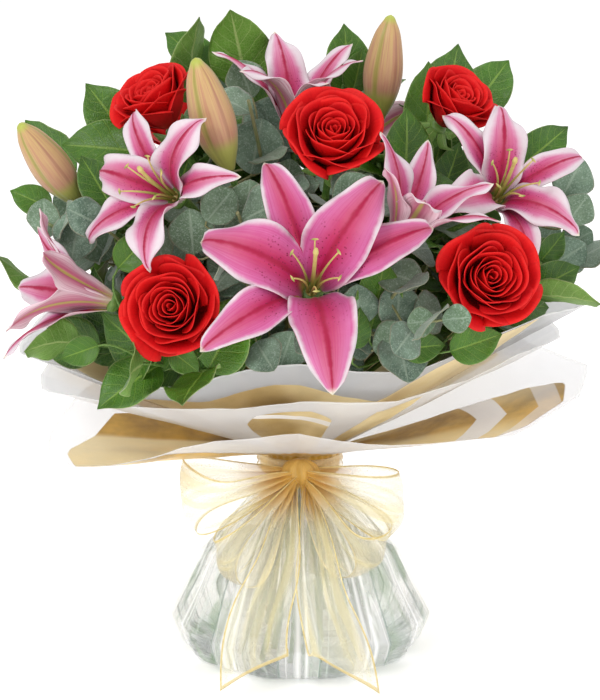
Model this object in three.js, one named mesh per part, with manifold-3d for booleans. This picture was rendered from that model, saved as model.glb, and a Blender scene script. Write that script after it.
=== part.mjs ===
// A hand-tied bouquet of red roses, pink oriental lilies, eucalyptus and salal leaves, in its paper wrap.
// It stands on its own clear film pack of water. Millimetres, +Z up; the origin is the centre of the
// pack's flat base, and the bouquet's front faces -Y.
import * as THREE from 'three';
import { mergeVertices } from 'three/addons/utils/BufferGeometryUtils.js';
import Module from 'manifold-3d';

const library = await Module();
library.setup();

// ---------------------------------------------------------------- driving dimensions

const TIE_HEIGHT = 145; // where the stems cross and are tied
const GAP = 0.35; // clearance between pieces that touch
const BLADE = 0.8; // thickness of a petal or a leaf
const HEART = new THREE.Vector3(0, 0, 215); // middle of the dome of flowers, which leaves face away from
const FOOT_HEIGHT = 8; // cut ends of the stems above the base

// Rings of stems at the tie: the radius, and how far its stems lean round it per mm of height.
const RINGS = [
  { radius: 0, lean: 0 },
  { radius: 7.6, lean: 0.237 },
  { radius: 15.4, lean: 0.4 },
];
const TWIST = 60; // degrees that a head stands ahead of its stem's place at the tie
const LILY_STEM = 3.2; // stem radii
const ROSE_STEM = 2.5;
const LEAFY_STEM = 2.1;
const TWIG = 1.3; // side shoots and flower stalks

// The film pack's wall, as [height, outer radius, pleat depth as a share of the radius].
const PACK_WALL = [
  [0, 68, 0.02],
  [7, 84, 0.03],
  [24, 91, 0.04],
  [74, 68, 0.055],
  [130, 22.7, 0.01],
  [152, 22.7, 0.01],
];
const FILM = 0.9; // thickness of the gathered film
const PLEATS = 10;
const WATER_ROWS = 4; // the wall rows that the water reaches

const TWINE = { radius: 18.95, thickness: 1.9, height: 8 };

// Each wrap sheet: neck radius, the height where it flares, and its rim as [azimuth, reach, height].
const NECK_FOOT = 134;
const PAPER = 0.8;
const WRAP_PLEATS = 6;
const WRAP_WAVE = 0.035; // height of a pleat per mm of reach
const WRAPS = [
  {
    name: 'wrap_inner_paper',
    neck: 24.2,
    flare: 154,
    colour: '#b9935a',
    rim: [
      [-180, 172, 280], [-150, 172, 272], [-110, 196, 228], [-75, 197, 230], [-48, 178, 226], [-35, 155, 230],
      [-22, 138, 242], [0, 132, 242], [26, 150, 244], [45, 178, 262], [70, 192, 264], [90, 202, 262],
      [110, 190, 260], [150, 172, 272],
    ],
  },
  {
    name: 'wrap_middle_film',
    neck: 25.9,
    flare: 152,
    colour: '#dcdad6',
    rim: [
      [-180, 160, 250], [-110, 180, 210], [-67, 184, 204], [-48, 164, 212], [-31, 132, 214],
      [0, 118, 214], [31, 130, 220], [45, 156, 229], [73, 184, 240], [110, 176, 242],
    ],
  },
  {
    name: 'wrap_outer_paper',
    neck: 27.6,
    flare: 150,
    colour: '#c79d4f',
    rim: [
      [-180, 150, 200], [-150, 162, 186], [-110, 168, 172], [-85, 178, 164], [-62, 182, 156], [-52, 168, 160],
      [-38, 120, 188], [0, 96, 186], [38, 130, 186], [65, 172, 176], [75, 198, 202], [86, 206, 218],
      [112, 176, 206], [150, 150, 206],
    ],
  },
];

const BAND = { radius: 29.1, thickness: 1.0, foot: 136, top: 148 };
const KNOT = new THREE.Vector3(0, -38, 142);
// Loops of the bow: the way each points, its length, half width and how far it stands open.
const LOOPS = [
  { azimuth: -64, elevation: -6, length: 90, width: 22, open: 13 },
  { azimuth: 64, elevation: -10, length: 80, width: 24, open: 13 },
  { azimuth: -50, elevation: -38, length: 90, width: 22, open: 11 },
  { azimuth: 50, elevation: -38, length: 86, width: 21, open: 11 },
];
// Tails of the bow: the middle line of each, and its half width.
const TAILS = [
  { line: [[-5, -43, 138], [-14, -86, 104], [-24, -106, 60], [-32, -112, 13]], width: 23 },
  { line: [[5, -43, 138], [12, -86, 104], [22, -107, 58], [28, -114, 9]], width: 22 },
];

// Roses: ring and slot at the tie, the seat where the petals start, the way the head faces, and its width.
const ROSES = [
  {
    name: 'rose_upper_left', ring: 1, slot: -103, seat: [-86, -38, 385], azimuth: -55,
    elevation: 56, width: 57,
  },
  {
    name: 'rose_top', ring: 1, slot: 0, seat: [20, -90, 374], azimuth: 5, elevation: 44, width: 65,
  },
  {
    name: 'rose_upper_right', ring: 1, slot: 103, seat: [95, -16, 383], azimuth: 45,
    elevation: 50, width: 54,
  },
  {
    name: 'rose_lower_left', ring: 2, slot: -42, seat: [-76, -132, 281], azimuth: -12,
    elevation: 20, width: 65,
  },
  {
    name: 'rose_lower_right', ring: 2, slot: 42, seat: [116, -106, 293], azimuth: 14,
    elevation: 22, width: 67,
  },
  {
    name: 'rose_back', ring: 1, slot: -154, seat: [-72, 92, 345], azimuth: -140, elevation: 42,
    width: 70,
  },
];

// Lilies: the seat of each head, the way it faces, its tepal length, how far it has opened,
// and the direction of each tepal in degrees round the head (broad and narrow ones in turn).
const EVEN = [90, 30, -30, -90, -150, 150];
const LILIES = [
  {
    name: 'lily_front', seat: [7, -146, 296], azimuth: 3, elevation: 31, length: 104, opened: 1,
    tepals: [54, 24, -83, -148, 165, 110],
  },
  {
    name: 'lily_upper_left', seat: [-77, -108, 350], azimuth: -38, elevation: 25, length: 75,
    opened: 0.95, tepals: [62, 16, -74, -138, 174, 128],
  },
  {
    name: 'lily_half_right', seat: [60, -124, 320], azimuth: 62, elevation: 63, length: 80,
    opened: 0.22, tepals: EVEN,
  },
  {
    name: 'lily_upper_right', seat: [129, -60, 337], azimuth: 20, elevation: 38, length: 77,
    opened: 0.95, tepals: [82, 16, -46, -88, 184, 118],
  },
  {
    name: 'lily_crown', seat: [-4, -30, 376], azimuth: 20, elevation: 83, length: 80,
    opened: 0.3, tepals: EVEN,
  },
  {
    name: 'lily_half_left', seat: [-118, -112, 282], azimuth: -84, elevation: 18, length: 84,
    opened: 0.2, tepals: EVEN,
  },
  {
    name: 'lily_back', seat: [30, 112, 322], azimuth: 172, elevation: 40, length: 92, opened: 0.95,
    tepals: EVEN,
  },
];
const BUDS = [
  { name: 'lily_bud_left', seat: [-148, -52, 336], azimuth: -62, elevation: 54, length: 72 },
  { name: 'lily_bud_upper', seat: [-46, -98, 368], azimuth: -60, elevation: 72, length: 80 },
  { name: 'lily_bud_crown', seat: [54, 6, 382], azimuth: 60, elevation: 83, length: 74 },
  { name: 'lily_bud_back', seat: [-20, 92, 352], azimuth: 170, elevation: 54, length: 74 },
];
// Each lily stem forks below its heads.
const LILY_STEMS = [
  {
    name: 'lily_stem_middle', ring: 0, slot: 0, fork: [-4, -34, 292],
    heads: ['lily_front', 'lily_crown', 'lily_bud_upper'],
  },
  {
    name: 'lily_stem_left', ring: 1, slot: -51, fork: [-68, -42, 280],
    heads: ['lily_upper_left', 'lily_half_left', 'lily_bud_left'],
  },
  {
    name: 'lily_stem_right', ring: 1, slot: 51, fork: [62, -26, 286],
    heads: ['lily_upper_right', 'lily_half_right', 'lily_bud_crown'],
  },
  {
    name: 'lily_stem_back', ring: 1, slot: 154, fork: [4, 56, 288],
    heads: ['lily_back', 'lily_bud_back'],
  },
];

// Foliage: the tip of each leafy stem, the way it points there, the tip of its side shoot, and its leaves.
const SALAL = {
  length: 54, width: 19.5, broadest: 0.75, droop: 0.22, fold: 0.22, wave: 0.1, lean: 52, pairs: false,
};
const EUCALYPTUS = {
  length: 33, width: 16.5, broadest: 1, droop: 0.1, fold: 0.12, wave: 0, lean: 66, pairs: true,
};
const FOLIAGE = [
  {
    name: 'salal_front_left', kind: SALAL, slot: -64, tip: [-102, -146, 250], azimuth: -52,
    elevation: 14, shoot: [-62, -166, 250], leaves: 8,
  },
  {
    name: 'salal_low_left', kind: SALAL, slot: -85, tip: [-150, -100, 252], azimuth: -62,
    elevation: 12, shoot: [-162, -44, 268], leaves: 8,
  },
  {
    name: 'eucalyptus_left', kind: EUCALYPTUS, slot: -106, tip: [-168, -70, 326], azimuth: -70,
    elevation: 34, shoot: [-130, -98, 330], leaves: 9,
  },
  {
    name: 'salal_upper_left', kind: SALAL, slot: -127, tip: [-138, 0, 366], azimuth: -84,
    elevation: 50, shoot: [-158, 20, 340], leaves: 8,
  },
  {
    name: 'salal_crown_left', kind: SALAL, slot: -148, tip: [-72, 6, 398], azimuth: -80,
    elevation: 72, shoot: [-36, 8, 404], leaves: 8,
  },
  {
    name: 'eucalyptus_middle', kind: EUCALYPTUS, slot: 0, tip: [-34, -74, 410], azimuth: -24,
    elevation: 62, shoot: [-14, -112, 392], leaves: 9,
  },
  {
    name: 'eucalyptus_front_left', kind: EUCALYPTUS, slot: -21, tip: [-40, -146, 350],
    azimuth: -18, elevation: 44, shoot: [-48, -152, 316], leaves: 9,
  },
  {
    name: 'eucalyptus_front_right', kind: EUCALYPTUS, slot: 21, tip: [78, -158, 278], azimuth: 28,
    elevation: 14, shoot: [66, -142, 300], leaves: 9,
  },
  {
    name: 'salal_low_right', kind: SALAL, slot: 64, tip: [160, -72, 278], azimuth: 66,
    elevation: 10, shoot: [118, -140, 252], leaves: 8,
  },
  {
    name: 'eucalyptus_right', kind: EUCALYPTUS, slot: 85, tip: [180, -14, 328], azimuth: 86,
    elevation: 30, shoot: [186, -20, 286], leaves: 9,
  },
  {
    name: 'salal_upper_right', kind: SALAL, slot: 106, tip: [150, 10, 362], azimuth: 92,
    elevation: 48, shoot: [120, 34, 384], leaves: 8,
  },
  {
    name: 'salal_crown_right', kind: SALAL, slot: 127, tip: [30, 22, 404], azimuth: 60,
    elevation: 76, shoot: [88, 20, 392], leaves: 8,
  },
  {
    name: 'salal_back_right', kind: SALAL, slot: 148, tip: [120, 120, 318], azimuth: 134,
    elevation: 34, shoot: [150, 90, 270], leaves: 8,
  },
  {
    name: 'eucalyptus_back', kind: EUCALYPTUS, slot: 169, tip: [10, 165, 290], azimuth: 176,
    elevation: 26, shoot: [-50, 150, 300], leaves: 9,
  },
  {
    name: 'salal_back_left', kind: SALAL, slot: -169, tip: [-138, 112, 300], azimuth: -130,
    elevation: 24, shoot: [-90, 140, 268], leaves: 8,
  },
];
const ROOT_SUNK = 4; // cubic millimetres of a leaf that may lie in its own stem, at its root
const LEAF_CROSSING = 0.3; // and in another leaf of its spray
const PETAL_CROSSING = 4; // and of a tepal in the others of its flower
const TURNS = [0, 24, -24, 48, -48, 72, -72, 96, -96, 120, -120]; // turns round its stem that a leaf may take
const POSES = [1, 0.78].flatMap((share) => TURNS.map((degrees) => [share, degrees])); // in two sizes
const STEERS = [1, 0.75, 1.3, 0.5, 1.6]; // how stiffly a stem may bend above the tie
const SWAYS = [
  [0, 0], [14, 0], [-14, 0], [0, 14], [0, -14], [26, 0], [-26, 0], [0, 26], [0, -26],
  [40, 0], [-40, 0], [0, -40], [0, 40], [56, 0], [-56, 0], [0, -56],
];
const BENDS = SWAYS.flatMap((sway) => STEERS.map((steer) => [steer, sway])); // and how far aside and in
const FLARES = [1, 0.93, 1.07, 0.86, 1.14, 0.79, 1.21, 0.72, 0.64, 0.56]; // other ways a tepal may arch
const SWINGS = [0, 7, -7, 14, -14]; // other directions, in degrees, that it may take
const ARCHES = FLARES.flatMap((flare) => SWINGS.map((swing) => [flare, swing]));

// ---------------------------------------------------------------- directions and frames

const UP = new THREE.Vector3(0, 0, 1);
const rad = THREE.MathUtils.degToRad;
const vector = (row) => new THREE.Vector3(...row);

// A place from its azimuth (degrees from the front, -Y, towards the right, +X), radius and height.
function polar(azimuth, radius, height) {
  return new THREE.Vector3(radius * Math.sin(rad(azimuth)), -radius * Math.cos(rad(azimuth)), height);
}

// The way a head faces, with the directions to its right and to its top.
function headFrame(head) {
  const axis = polar(head.azimuth, Math.cos(rad(head.elevation)), Math.sin(rad(head.elevation)));
  const right = new THREE.Vector3(Math.cos(rad(head.azimuth)), Math.sin(rad(head.azimuth)), 0);
  const top = new THREE.Vector3().crossVectors(axis, right);
  return { seat: vector(head.seat), axis, right, top };
}

// The point of a head's frame that lies (along its axis, out from it in direction `angle`).
function inHead(frame, angle, out, along) {
  return frame.seat
    .clone()
    .addScaledVector(frame.axis, along)
    .addScaledVector(frame.right, out * Math.cos(angle))
    .addScaledVector(frame.top, out * Math.sin(angle));
}

// ---------------------------------------------------------------- solids

// A geometry as a closed solid: vertices merged, collapsed triangles dropped, faces pointing out.
function solidOf(geometry) {
  const loose = geometry.index ? geometry.toNonIndexed() : geometry;
  const bare = new THREE.BufferGeometry().setAttribute('position', loose.getAttribute('position'));
  const merged = mergeVertices(bare, 1e-4);
  const corners = merged.index.array;
  const kept = [];
  for (let i = 0; i < corners.length; i += 3) {
    const [a, b, c] = [corners[i], corners[i + 1], corners[i + 2]];
    if (a !== b && b !== c && c !== a) kept.push(a, b, c);
  }
  const build = (triangles) =>
    new library.Manifold(
      new library.Mesh({
        numProp: 3,
        vertProperties: merged.attributes.position.array,
        triVerts: Uint32Array.from(triangles),
      }),
    );
  const solid = build(kept);
  return solid.volume() < 0 ? build(kept.reverse()) : solid;
}

// Solids joined into one body; scraps that touch nothing are dropped.
function fuse(solids) {
  const bodies = library.Manifold.union(solids).decompose();
  return bodies.reduce((best, body) => (body.volume() > best.volume() ? body : best));
}

// A blade of even thickness. middle(u, v) is its middle surface, u from -1 to 1 across and v from 0 to 1
// along it; an end of no width becomes a point. A ring's u = -1 and u = 1 meet, so it has no side edges.
// Both faces share their diagonals.
function blade(middle, across, along, thickness = BLADE, ring = false) {
  const nudge = 2e-3;
  const faces = [[], []];
  for (let j = 0; j <= along; j++) {
    const v = j / along;
    const pointed = middle(-1, v).distanceTo(middle(1, v)) < nudge && !ring;
    for (let i = 0; i <= across; i++) {
      const u = -1 + (2 * i) / across;
      const at = pointed ? nudge : u;
      const inside = Math.min(Math.max(v, nudge), 1 - nudge);
      const acrossWay = middle(at + nudge, inside).sub(middle(at - nudge, inside));
      const alongWay = middle(at, inside + nudge).sub(middle(at, inside - nudge));
      const normal = acrossWay.cross(alongWay).normalize().multiplyScalar(thickness / 2);
      faces[0].push(middle(u, v).add(normal));
      faces[1].push(middle(u, v).sub(normal));
    }
  }
  const triangles = [];
  const corner = (side, i, j) => faces[side][j * (across + 1) + (ring && i === across ? 0 : i)];
  const quad = (a, b, c, d) => triangles.push(a, b, c, a, c, d);
  for (let j = 0; j < along; j++) {
    for (let i = 0; i < across; i++) {
      quad(corner(0, i, j), corner(0, i + 1, j), corner(0, i + 1, j + 1), corner(0, i, j + 1));
      triangles.push(corner(1, i, j), corner(1, i + 1, j + 1), corner(1, i + 1, j));
      triangles.push(corner(1, i, j), corner(1, i, j + 1), corner(1, i + 1, j + 1));
    }
    if (!ring) {
      quad(corner(1, 0, j), corner(0, 0, j), corner(0, 0, j + 1), corner(1, 0, j + 1));
      quad(corner(0, across, j), corner(1, across, j), corner(1, across, j + 1), corner(0, across, j + 1));
    }
  }
  for (let i = 0; i < across; i++) {
    quad(corner(1, i, 0), corner(1, i + 1, 0), corner(0, i + 1, 0), corner(0, i, 0));
    quad(corner(0, i, along), corner(0, i + 1, along), corner(1, i + 1, along), corner(1, i, along));
  }
  return solidOf(new THREE.BufferGeometry().setFromPoints(triangles));
}

// A tube along a curve, with closed ends.
function tube(path, radius, sides, steps) {
  const step = (2 * Math.PI) / sides;
  const corner = (k) => new THREE.Vector2(radius * Math.cos(step * k), radius * Math.sin(step * k));
  const section = new THREE.Shape(Array.from({ length: sides }, (_, k) => corner(k)));
  return solidOf(new THREE.ExtrudeGeometry(section, { extrudePath: path, steps, bevelEnabled: false }));
}

// A turned body from [radius, height] rows, stood on Z, with its radii scaled by shape(angle, height).
function turned(rows, sides, shape = () => 1) {
  const profile = rows.map(([radius, height]) => new THREE.Vector2(radius, height));
  const geometry = new THREE.LatheGeometry(profile, sides).rotateX(Math.PI / 2);
  const places = geometry.getAttribute('position');
  for (let i = 0; i < places.count; i++) {
    const share = shape(Math.atan2(places.getY(i), places.getX(i)), places.getZ(i));
    places.setXY(i, places.getX(i) * share, places.getY(i) * share);
  }
  return solidOf(geometry);
}

// A solid made round +Z at the origin, moved into a head's frame.
function seated(solid, frame) {
  const { seat, axis, right, top } = frame;
  const matrix = new THREE.Matrix4().makeBasis(right, top, axis).setPosition(seat);
  return solid.transform(matrix.elements);
}

// ---------------------------------------------------------------- the bouquet's pieces so far

const bouquet = new THREE.Group();
const pieces = [];

function isClear(solid, owner) {
  const { min, max } = solid.boundingBox();
  return pieces.every((piece) => {
    if (piece.owner === owner) return true;
    const box = piece.solid.boundingBox();
    const apart = [0, 1, 2].some((k) => box.min[k] > max[k] + GAP || box.max[k] < min[k] - GAP);
    return apart || piece.solid.minGap(solid, GAP) >= GAP * 0.999;
  });
}

// The first solid among the choices that is clear of every other node and lies least, or less than
// `allowed` cubic millimetres, in its fellows of the same node. None is undefined.
function firstClear(choices, make, owner, fellows = [], allowed = 0) {
  let best;
  let least = Infinity;
  for (const choice of choices) {
    const solid = make(choice);
    if (!isClear(solid, owner)) continue;
    const shared = fellows.reduce((sum, other) => sum + solid.intersect(other).volume(), 0);
    if (shared < least) [best, least] = [solid, shared];
    if (shared <= allowed) break;
  }
  return best;
}

function keep(name, solid, material, owner = name) {
  pieces.push({ name, solid, owner });
  const mesh = solid.getMesh();
  const geometry = new THREE.BufferGeometry()
    .setAttribute('position', new THREE.BufferAttribute(mesh.vertProperties, 3))
    .setIndex(new THREE.BufferAttribute(mesh.triVerts, 1));
  const node = new THREE.Mesh(geometry, material);
  node.name = name;
  bouquet.add(node);
}

const finish = (color, roughness, more = {}) =>
  new THREE.MeshStandardMaterial({ color, roughness, metalness: 0, ...more });
const MATERIALS = {
  film: finish('#eef2f3', 0.1, { transparent: true, opacity: 0.35 }),
  water: finish('#dfeee6', 0.05, { transparent: true, opacity: 0.4 }),
  twine: finish('#b59a6a', 0.9),
  ribbon: finish('#ecd69c', 0.5, { transparent: true, opacity: 0.7 }),
  rose: finish('#c20d17', 0.55),
  lily: finish('#e2699a', 0.45),
  stamen: finish('#b7b04a', 0.6),
  bud: finish('#d8b183', 0.5),
  stem: finish('#4d7a35', 0.6),
  salal: finish('#2f6b25', 0.4),
  eucalyptus: finish('#7d9484', 0.7),
};

// ---------------------------------------------------------------- pack, water, twine

// The share by which a pleat moves the film in or out, from the wall row at that height.
function pleat(angle, height) {
  const above = PACK_WALL.findIndex(([z]) => z >= height - 1e-6);
  const [z1, , d1] = PACK_WALL[Math.max(above, 0)];
  const [z0, , d0] = PACK_WALL[Math.max(above - 1, 0)];
  const depth = z1 > z0 ? d0 + ((d1 - d0) * (height - z0)) / (z1 - z0) : d1;
  return 1 + depth * Math.cos(PLEATS * angle);
}

function filmPack() {
  const outer = PACK_WALL.map(([z, r]) => [r, z]);
  const inner = PACK_WALL.slice(1).map(([z, r]) => [r - FILM, z]);
  const rows = [[0, 0], ...outer, ...inner.reverse(), [PACK_WALL[0][1], FILM], [0, FILM]];
  keep('water_pack_film', turned(rows, 2 * PLEATS, pleat), MATERIALS.film);
}

// The water fills the pack to its fill line, with a plain hole for each stem that stands in it.
function water(feet) {
  const floor = FILM + GAP;
  const rows = PACK_WALL.slice(0, WATER_ROWS).map(([z, r]) => [r - FILM - GAP * 1.4, Math.max(z, floor)]);
  const fill = rows[WATER_ROWS - 1][1];
  let body = turned([[0, fill], ...rows.reverse(), [0, floor]], 2 * PLEATS, pleat);
  for (const { foot, way, radius } of feet) {
    const start = foot.clone().addScaledVector(way, -GAP);
    const end = foot.clone().addScaledVector(way, fill - FOOT_HEIGHT + 25);
    const sides = sidesOf(radius);
    const reach = radius + GAP / Math.cos(Math.PI / sides);
    body = body.subtract(tube(new THREE.LineCurve3(start, end), reach, sides, 1));
  }
  keep('pack_water', fuse([body]), MATERIALS.water);
}

// The turns of twine lie pressed together round the stems as one band.
function twineTie() {
  const { radius, thickness, height } = TWINE;
  const [foot, top] = [TIE_HEIGHT - height / 2, TIE_HEIGHT + height / 2];
  const rows = [
    [radius, foot], [radius + thickness * 0.7, foot], [radius + thickness, TIE_HEIGHT],
    [radius + thickness * 0.7, top], [radius, top], [radius, foot],
  ];
  keep('stem_twine', turned(rows, 14), MATERIALS.twine);
}

// ---------------------------------------------------------------- paper and film wraps

// Reach and height of a sheet's rim at an azimuth, along straight cut edges between its corners.
function rimAt(rim, azimuth) {
  const corners = [...rim, [rim[0][0] + 360, rim[0][1], rim[0][2]]];
  const next = corners.findIndex(([corner]) => corner > azimuth + 1e-9);
  const [from, to] = [corners[next - 1], corners[next]];
  const share = (azimuth - from[0]) / (to[0] - from[0]);
  return [from[1] + (to[1] - from[1]) * share, from[2] + (to[2] - from[2]) * share];
}

function wrapSheet({ name, neck, flare, colour, rim }) {
  const middle = (u, v) => {
    const azimuth = -180 + ((((u + 1) * 180) % 360) + 360) % 360;
    const [reach, height] = rimAt(rim, azimuth);
    if (v < 1 / 3) return polar(azimuth, neck, NECK_FOOT + (flare - NECK_FOOT) * 3 * v);
    const out = (v - 1 / 3) * 1.5;
    const radius = neck + (reach - neck) * out;
    const wave = WRAP_WAVE * (radius - neck) * Math.cos(rad(WRAP_PLEATS * azimuth));
    return polar(azimuth, radius, flare + (height - flare) * out + wave);
  };
  keep(name, blade(middle, 4 * WRAP_PLEATS, 3, PAPER, true), finish(colour, 0.5));
}

// ---------------------------------------------------------------- ribbon

function ribbonBow() {
  const ring = [
    [BAND.radius, BAND.foot], [BAND.radius + BAND.thickness, BAND.foot],
    [BAND.radius + BAND.thickness, BAND.top], [BAND.radius, BAND.top], [BAND.radius, BAND.foot],
  ];
  const band = turned(ring, 14);
  const lump = new THREE.SphereGeometry(1, 6, 4).scale(13, 9, 10).translate(KNOT.x, KNOT.y, KNOT.z);
  const knot = solidOf(lump);
  const loops = LOOPS.map(({ azimuth, elevation, length, width, open }) => {
    const way = headFrame({ seat: [0, 0, 0], azimuth, elevation });
    const bend = (v) => Math.sin(Math.PI * v);
    const middle = (u, v) =>
      KNOT.clone()
        .addScaledVector(way.axis, length * bend(v))
        .addScaledVector(way.right, -open * Math.sin(2 * Math.PI * v) - 3.5 * (1 - 2 * v))
        .addScaledVector(way.top, u * width * (0.1 + 0.9 * bend(v)));
    return blade(middle, 1, 5);
  });
  const tails = TAILS.map(({ line, width }) => {
    const path = new THREE.CatmullRomCurve3(line.map(vector));
    const middle = (u, v) => {
      const spread = u * width * (0.12 + 0.88 * Math.sin(v * Math.PI * 0.5));
      return path.getPoint(v).add(new THREE.Vector3(spread, 0, 0));
    };
    return blade(middle, 1, 5);
  });
  keep('ribbon_bow', fuse([band, knot, ...loops, ...tails]), MATERIALS.ribbon);
}

// ---------------------------------------------------------------- flower heads

// A rose: petals in spiral layers round a furled heart, as [how many, radius, height, half span, flare].
function roseHead(rose) {
  const frame = headFrame(rose);
  const size = rose.width / 72;
  const layers = [
    [3, 21, 46, 61, 2],
    [4, 29, 41, 47, 8],
  ];
  const outline = [[0, 0.3], [5, 0.3], [13.5, 4], [15, 8], [5, 8], [12, 24], [8, 42], [0, 38]];
  const heart = turned(outline.map((row) => row.map((x) => x * size)), 6);
  const solids = [seated(heart, frame)];
  layers.forEach(([count, radius, height, span, flare], layer) => {
    for (let k = 0; k < count; k++) {
      const middleAngle = (2 * Math.PI * (k + 0.37 * layer)) / count;
      const middle = (u, v) => {
        const belly = 0.24 + 0.76 * Math.sin(Math.min(1, v * 1.25) * Math.PI * 0.5);
        const lip = Math.max(0, v - 0.6) / 0.4;
        const out = (radius * belly * (1 + 0.085 * u) + flare * lip * lip) * size;
        const rise = (height * v - (9 + flare * 0.4) * u * u * v * v - 0.35 * flare * lip * lip + 4) * size;
        return inHead(frame, middleAngle + u * rad(span), out, rise);
      };
      solids.push(blade(middle, 2, 3));
    }
  });
  keep(rose.name, fuse(solids), MATERIALS.rose);
}

// The middle line of a lily's tepal as [out, along] and its slope from the axis, at a share of its length.
const TEPAL_STEPS = 24;
function tepalLine(length, opened, flare, broad, share) {
  let [out, along] = [broad ? 3.2 : 5.4, broad ? 0.4 : 1.5];
  const base = broad ? 6 : 15;
  const slope = (s) => rad(base + 5 * opened + (40 + 76 * opened) * flare * s ** 1.25);
  for (let k = 0; k < TEPAL_STEPS; k++) {
    const s = ((k + 0.5) / TEPAL_STEPS) * share;
    out += (Math.sin(slope(s)) * length * share) / TEPAL_STEPS;
    along += (Math.cos(slope(s)) * length * share) / TEPAL_STEPS;
  }
  return { out, along, slope: slope(share) };
}

function tepal(frame, lily, angle, broad, flare) {
  const half = (broad ? 0.205 : 0.15) * lily.length * (0.88 + 0.12 * lily.opened);
  const middle = (u, v) => {
    const line = tepalLine(lily.length, lily.opened, flare, broad, v);
    const width = half * Math.max(0, Math.sin(Math.PI * v ** 0.95)) ** 0.9;
    const lift = width * (1.9 * v * (1 - v) ** 1.5 - 0.25 * v) * u * u;
    const side = u * width;
    const out = line.out - lift * Math.cos(line.slope);
    const along = line.along + lift * Math.sin(line.slope);
    const place = inHead(frame, angle, out, along);
    place.addScaledVector(frame.right, -side * Math.sin(angle));
    return place.addScaledVector(frame.top, side * Math.cos(angle));
  };
  return blade(middle, 2, 4);
}

function lilyHead(lily) {
  const frame = headFrame(lily);
  const cup = seated(turned([[0, 0.3], [6.5, 0.3], [8.5, 7], [0, 8]], 6), frame);
  const petals = [];
  lily.tepals.forEach((degrees, k) => {
    const make = ([flare, swing]) => tepal(frame, lily, rad(degrees + swing), k % 2 === 0, flare);
    const solid = firstClear(ARCHES, make, lily.name, petals, PETAL_CROSSING);
    if (!solid) throw new Error(`${lily.name} has no clear place for tepal ${k}`);
    petals.push(solid);
  });
  keep(lily.name, fuse([cup, ...petals]), MATERIALS.lily);
}

// Six arching filaments round a longer style, on a small hub in the throat.
function stamens(lily) {
  const frame = headFrame(lily);
  const reach = lily.length * 0.6;
  const hub = seated(turned([[0, 8.4], [4, 8.4], [4, 10.4], [0, 10.4]], 5), frame);
  const solids = [hub];
  const arch = (angle, root, out, tall) =>
    new THREE.QuadraticBezierCurve3(
      inHead(frame, angle, root, 9),
      inHead(frame, angle, root + 2, tall * 0.7),
      inHead(frame, angle, out, tall),
    );
  for (let k = 0; k < 6; k++) {
    const angle = (Math.PI * (k + 0.5)) / 3;
    solids.push(tube(arch(angle, 2.6, 17, reach), 0.8, 3, 2));
  }
  solids.push(tube(arch(Math.PI / 2, 0, 8, reach * 1.12), 1, 3, 2));
  keep(`${lily.name}_stamens`, fuse(solids), MATERIALS.stamen, lily.name);
}

function lilyBud(bud) {
  const rows = [[0, 0.3], [4, 0.3], [0.155, 0.26], [0.18, 0.5], [0.125, 0.8], [0.045, 0.97], [0, 1]];
  const scaled = rows.map(([r, z], k) => (k < 2 ? [r, z] : [r * bud.length, z * bud.length]));
  const ridged = (angle) => 1 + 0.07 * Math.cos(3 * angle);
  keep(bud.name, seated(turned(scaled, 9, ridged), headFrame(bud)), MATERIALS.bud);
}

// ---------------------------------------------------------------- stems

// A shift aside from the way between two places, and in towards the bouquet's axis.
function swayed(start, end, [aside, inwards]) {
  const side = new THREE.Vector3().crossVectors(end.clone().sub(start), UP).normalize();
  const inward = new THREE.Vector3(-end.x, -end.y, 0).normalize();
  return side.multiplyScalar(aside).addScaledVector(inward, inwards);
}

// A stem: straight from its cut foot to just over the tie, then one smooth bend to where it ends.
class StemCurve extends THREE.Curve {
  constructor(ring, slot, end, arrive, steer, sway) {
    super();
    const { radius, lean } = RINGS[ring];
    const azimuth = slot - TWIST;
    const round = new THREE.Vector3(Math.cos(rad(azimuth)), Math.sin(rad(azimuth)), 0);
    this.way = new THREE.Vector3(0, 0, 1).addScaledVector(round, lean).normalize();
    const tie = polar(azimuth, radius, TIE_HEIGHT);
    this.foot = tie.clone().addScaledVector(this.way, (FOOT_HEIGHT - TIE_HEIGHT) / this.way.z);
    const start = tie.clone().addScaledVector(this.way, 13);
    const far = start.distanceTo(end);
    this.bend = new THREE.CubicBezierCurve3(
      start,
      start.clone().addScaledVector(this.way, far * 0.22 * steer),
      end.clone().addScaledVector(arrive, -far * 0.3 * steer).add(swayed(start, end, sway)),
      end,
    );
  }
  getPoint(t, target = new THREE.Vector3()) {
    if (t >= STRAIGHT) return this.bend.getPoint((t - STRAIGHT) / (1 - STRAIGHT), target);
    return target.lerpVectors(this.foot, this.bend.v0, t / STRAIGHT);
  }
  getPointAt(t, target) {
    return this.getPoint(t, target);
  }
  getTangentAt(t, target) {
    return this.getTangent(t, target);
  }
}
const STEM_STEPS = 7;
const STRAIGHT = 1 / STEM_STEPS; // the share of a stem's steps in its straight foot

const feet = [];
const sidesOf = (radius) => (radius > LEAFY_STEM ? 5 : 3);

// The stem's first bend that is clear, as its curve and its tube.
function steered(name, ring, slot, end, arrive, radius) {
  let curve;
  const make = ([steer, sway]) => {
    curve = new StemCurve(ring, slot, end, arrive, steer, sway);
    return tube(curve, radius, sidesOf(radius), STEM_STEPS);
  };
  const solid = firstClear(BENDS, make, name);
  if (!solid) throw new Error(`${name} has no clear bend`);
  feet.push({ foot: curve.foot, way: curve.way, radius });
  return { curve, solid };
}

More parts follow.
